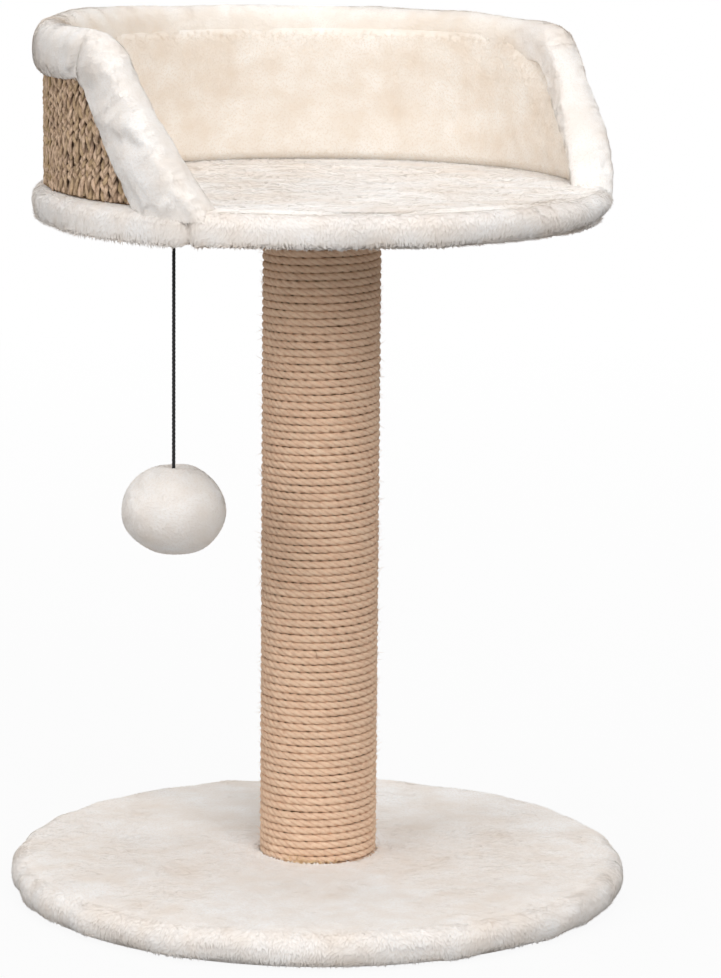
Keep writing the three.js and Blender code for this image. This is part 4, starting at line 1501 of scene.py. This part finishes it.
class SetStage(bpy.types.Operator):
    """Sets the pale floor, the studio lamps and the camera at the photograph's viewing angle"""

    bl_idname = "scratching_post.stage"
    bl_label = "Stage"

    def execute(self, context):
        self.floor()
        self.lamps()
        self.camera()
        return {"FINISHED"}

    def floor(self):
        deselect()
        bpy.ops.mesh.primitive_plane_add(size=120, location=(0, 0, -0.0004))
        floor = bpy.context.object
        floor.name = "floor"
        finish = Finish("floor", roughness=1.0)
        finish.shader.inputs["Base Color"].default_value = (*sizes("stage").floor, 1)
        lit = Signal(finish, finish.shader.outputs[0])
        white = finish.node("ShaderNodeEmission", (), {"Strength": 1.0})
        dim = finish.node("ShaderNodeBsdfDiffuse", (), {"Color": (*sizes("stage").bounce, 1)})
        rays = finish.node("ShaderNodeLightPath")
        seen = Signal(finish, rays.socket.node.outputs["Is Camera Ray"])
        glossy = Signal(finish, rays.socket.node.outputs["Is Glossy Ray"])
        through = Signal(finish, rays.socket.node.outputs["Is Transmission Ray"])
        length = {"operation": "LENGTH"}
        away = finish.node("ShaderNodeVectorMath", length, {0: finish.place()}, output=1)
        paler = (away * 0.03 + 0.92).clamped()
        backdrop = finish.node("ShaderNodeMixShader", (), {0: paler, 1: lit, 2: white})
        rays_seen = (seen + glossy + through).clamped()
        mixed = finish.node("ShaderNodeMixShader", (), {0: rays_seen, 1: dim, 2: backdrop})
        output = finish.tree.nodes["Material Output"]
        finish.tree.links.new(mixed.socket, output.inputs["Surface"])
        floor.data.materials.append(finish.material)

    def lamps(self):
        for name, place, aim, size, power in (
            ("key", (-1.5, -6.15, 4.00), (0, 0, 0.3), 3.8, 230),
            ("fill", (-3.5, -0.5, 1.7), (0, 0, 0.3), 2.4, 47),
            ("top", (0.5, 0.1, 8.5), (0, 0, 0), 9.5, 425),
        ):
            lamp = bpy.data.lights.new(name, "AREA")
            lamp.size, lamp.energy = size, power
            holder = bpy.data.objects.new(name, lamp)
            holder.location = place
            way = Vector(aim) - Vector(place)
            holder.rotation_euler = way.to_track_quat("-Z", "Y").to_euler()
            bpy.context.scene.collection.objects.link(holder)
        world = bpy.data.worlds.new("studio")
        bpy.context.scene.world = world
        world.use_nodes = True
        tree = world.node_tree
        ground = tree.nodes["Background"]
        ground.inputs["Color"].default_value = (1, 1, 1, 1)
        rays = tree.nodes.new("ShaderNodeLightPath")
        seen = rays.outputs["Is Camera Ray"]
        for other in ("Is Glossy Ray", "Is Transmission Ray"):
            widened = tree.nodes.new("ShaderNodeMath")
            widened.operation = "MAXIMUM"
            tree.links.new(seen, widened.inputs[0])
            tree.links.new(rays.outputs[other], widened.inputs[1])
            seen = widened.outputs[0]
        strength = tree.nodes.new("ShaderNodeMapRange")
        strength.inputs["To Min"].default_value = 0.35
        strength.inputs["To Max"].default_value = 1.0
        tree.links.new(seen, strength.inputs["Value"])
        tree.links.new(strength.outputs[0], ground.inputs["Strength"])
        bpy.context.scene.view_settings.view_transform = "Standard"

    def camera(self):
        stage = sizes("stage")
        yaw, pitch, roll = CAMERA_YAW, CAMERA_PITCH, CAMERA_ROLL
        right = Vector((math.cos(yaw), -math.sin(yaw), 0))
        flat = math.cos(pitch)
        ahead = Vector((math.sin(yaw) * flat, math.cos(yaw) * flat, -math.sin(pitch)))
        up = right.cross(ahead)
        across = right * math.cos(roll) + up * math.sin(roll)
        above = up * math.cos(roll) - right * math.sin(roll)
        axes = Matrix((across, above, -ahead)).transposed().to_4x4()
        placed = Matrix.Translation((0, -stage.distance, stage.height)) @ axes
        data = bpy.data.cameras.new("photograph")
        data.lens, data.sensor_width = CAMERA_LENS, SENSOR
        data.clip_end = 50
        camera = bpy.data.objects.new("photograph", data)
        camera.matrix_world = Matrix.Rotation(CAMERA_BEARING, 4, "Z") @ placed
        bpy.context.scene.collection.objects.link(camera)
        bpy.context.scene.camera = camera


class PostPanel(bpy.types.Panel):
    """Lists the pieces of the scratching post and their sizes"""

    bl_idname = "VIEW3D_PT_scratching_post"
    bl_label = "Scratching post"
    bl_space_type = "VIEW_3D"
    bl_region_type = "UI"
    bl_category = "Scratching post"

    def draw(self, context):
        for operator in OPERATORS:
            self.layout.operator(operator.bl_idname)
        for name, group in GROUPS.items():
            box = self.layout.box()
            box.label(text=name.capitalize())
            for setting in group.__annotations__:
                box.prop(sizes(name), setting)


OPERATORS = [
    SetStage, AddToy, AddBaseCover, WindRope, AddSeatCover, AddLining, PlaitSeagrass, AddNestCover,
    FinishFrame,
]


def register():
    for group in (*GROUPS.values(), *OPERATORS, PostPanel):
        bpy.utils.register_class(group)
    for name, group in GROUPS.items():
        setattr(bpy.types.Scene, f"scratching_post_{name}", bpy.props.PointerProperty(type=group))


def unregister():
    for name in GROUPS:
        delattr(bpy.types.Scene, f"scratching_post_{name}")
    for group in reversed((*GROUPS.values(), *OPERATORS, PostPanel)):
        bpy.utils.unregister_class(group)


def main():
    register()
    for operator in OPERATORS:
        module, name = operator.bl_idname.split(".")
        getattr(getattr(bpy.ops, module), name)()


if __name__ == "__main__":
    main()
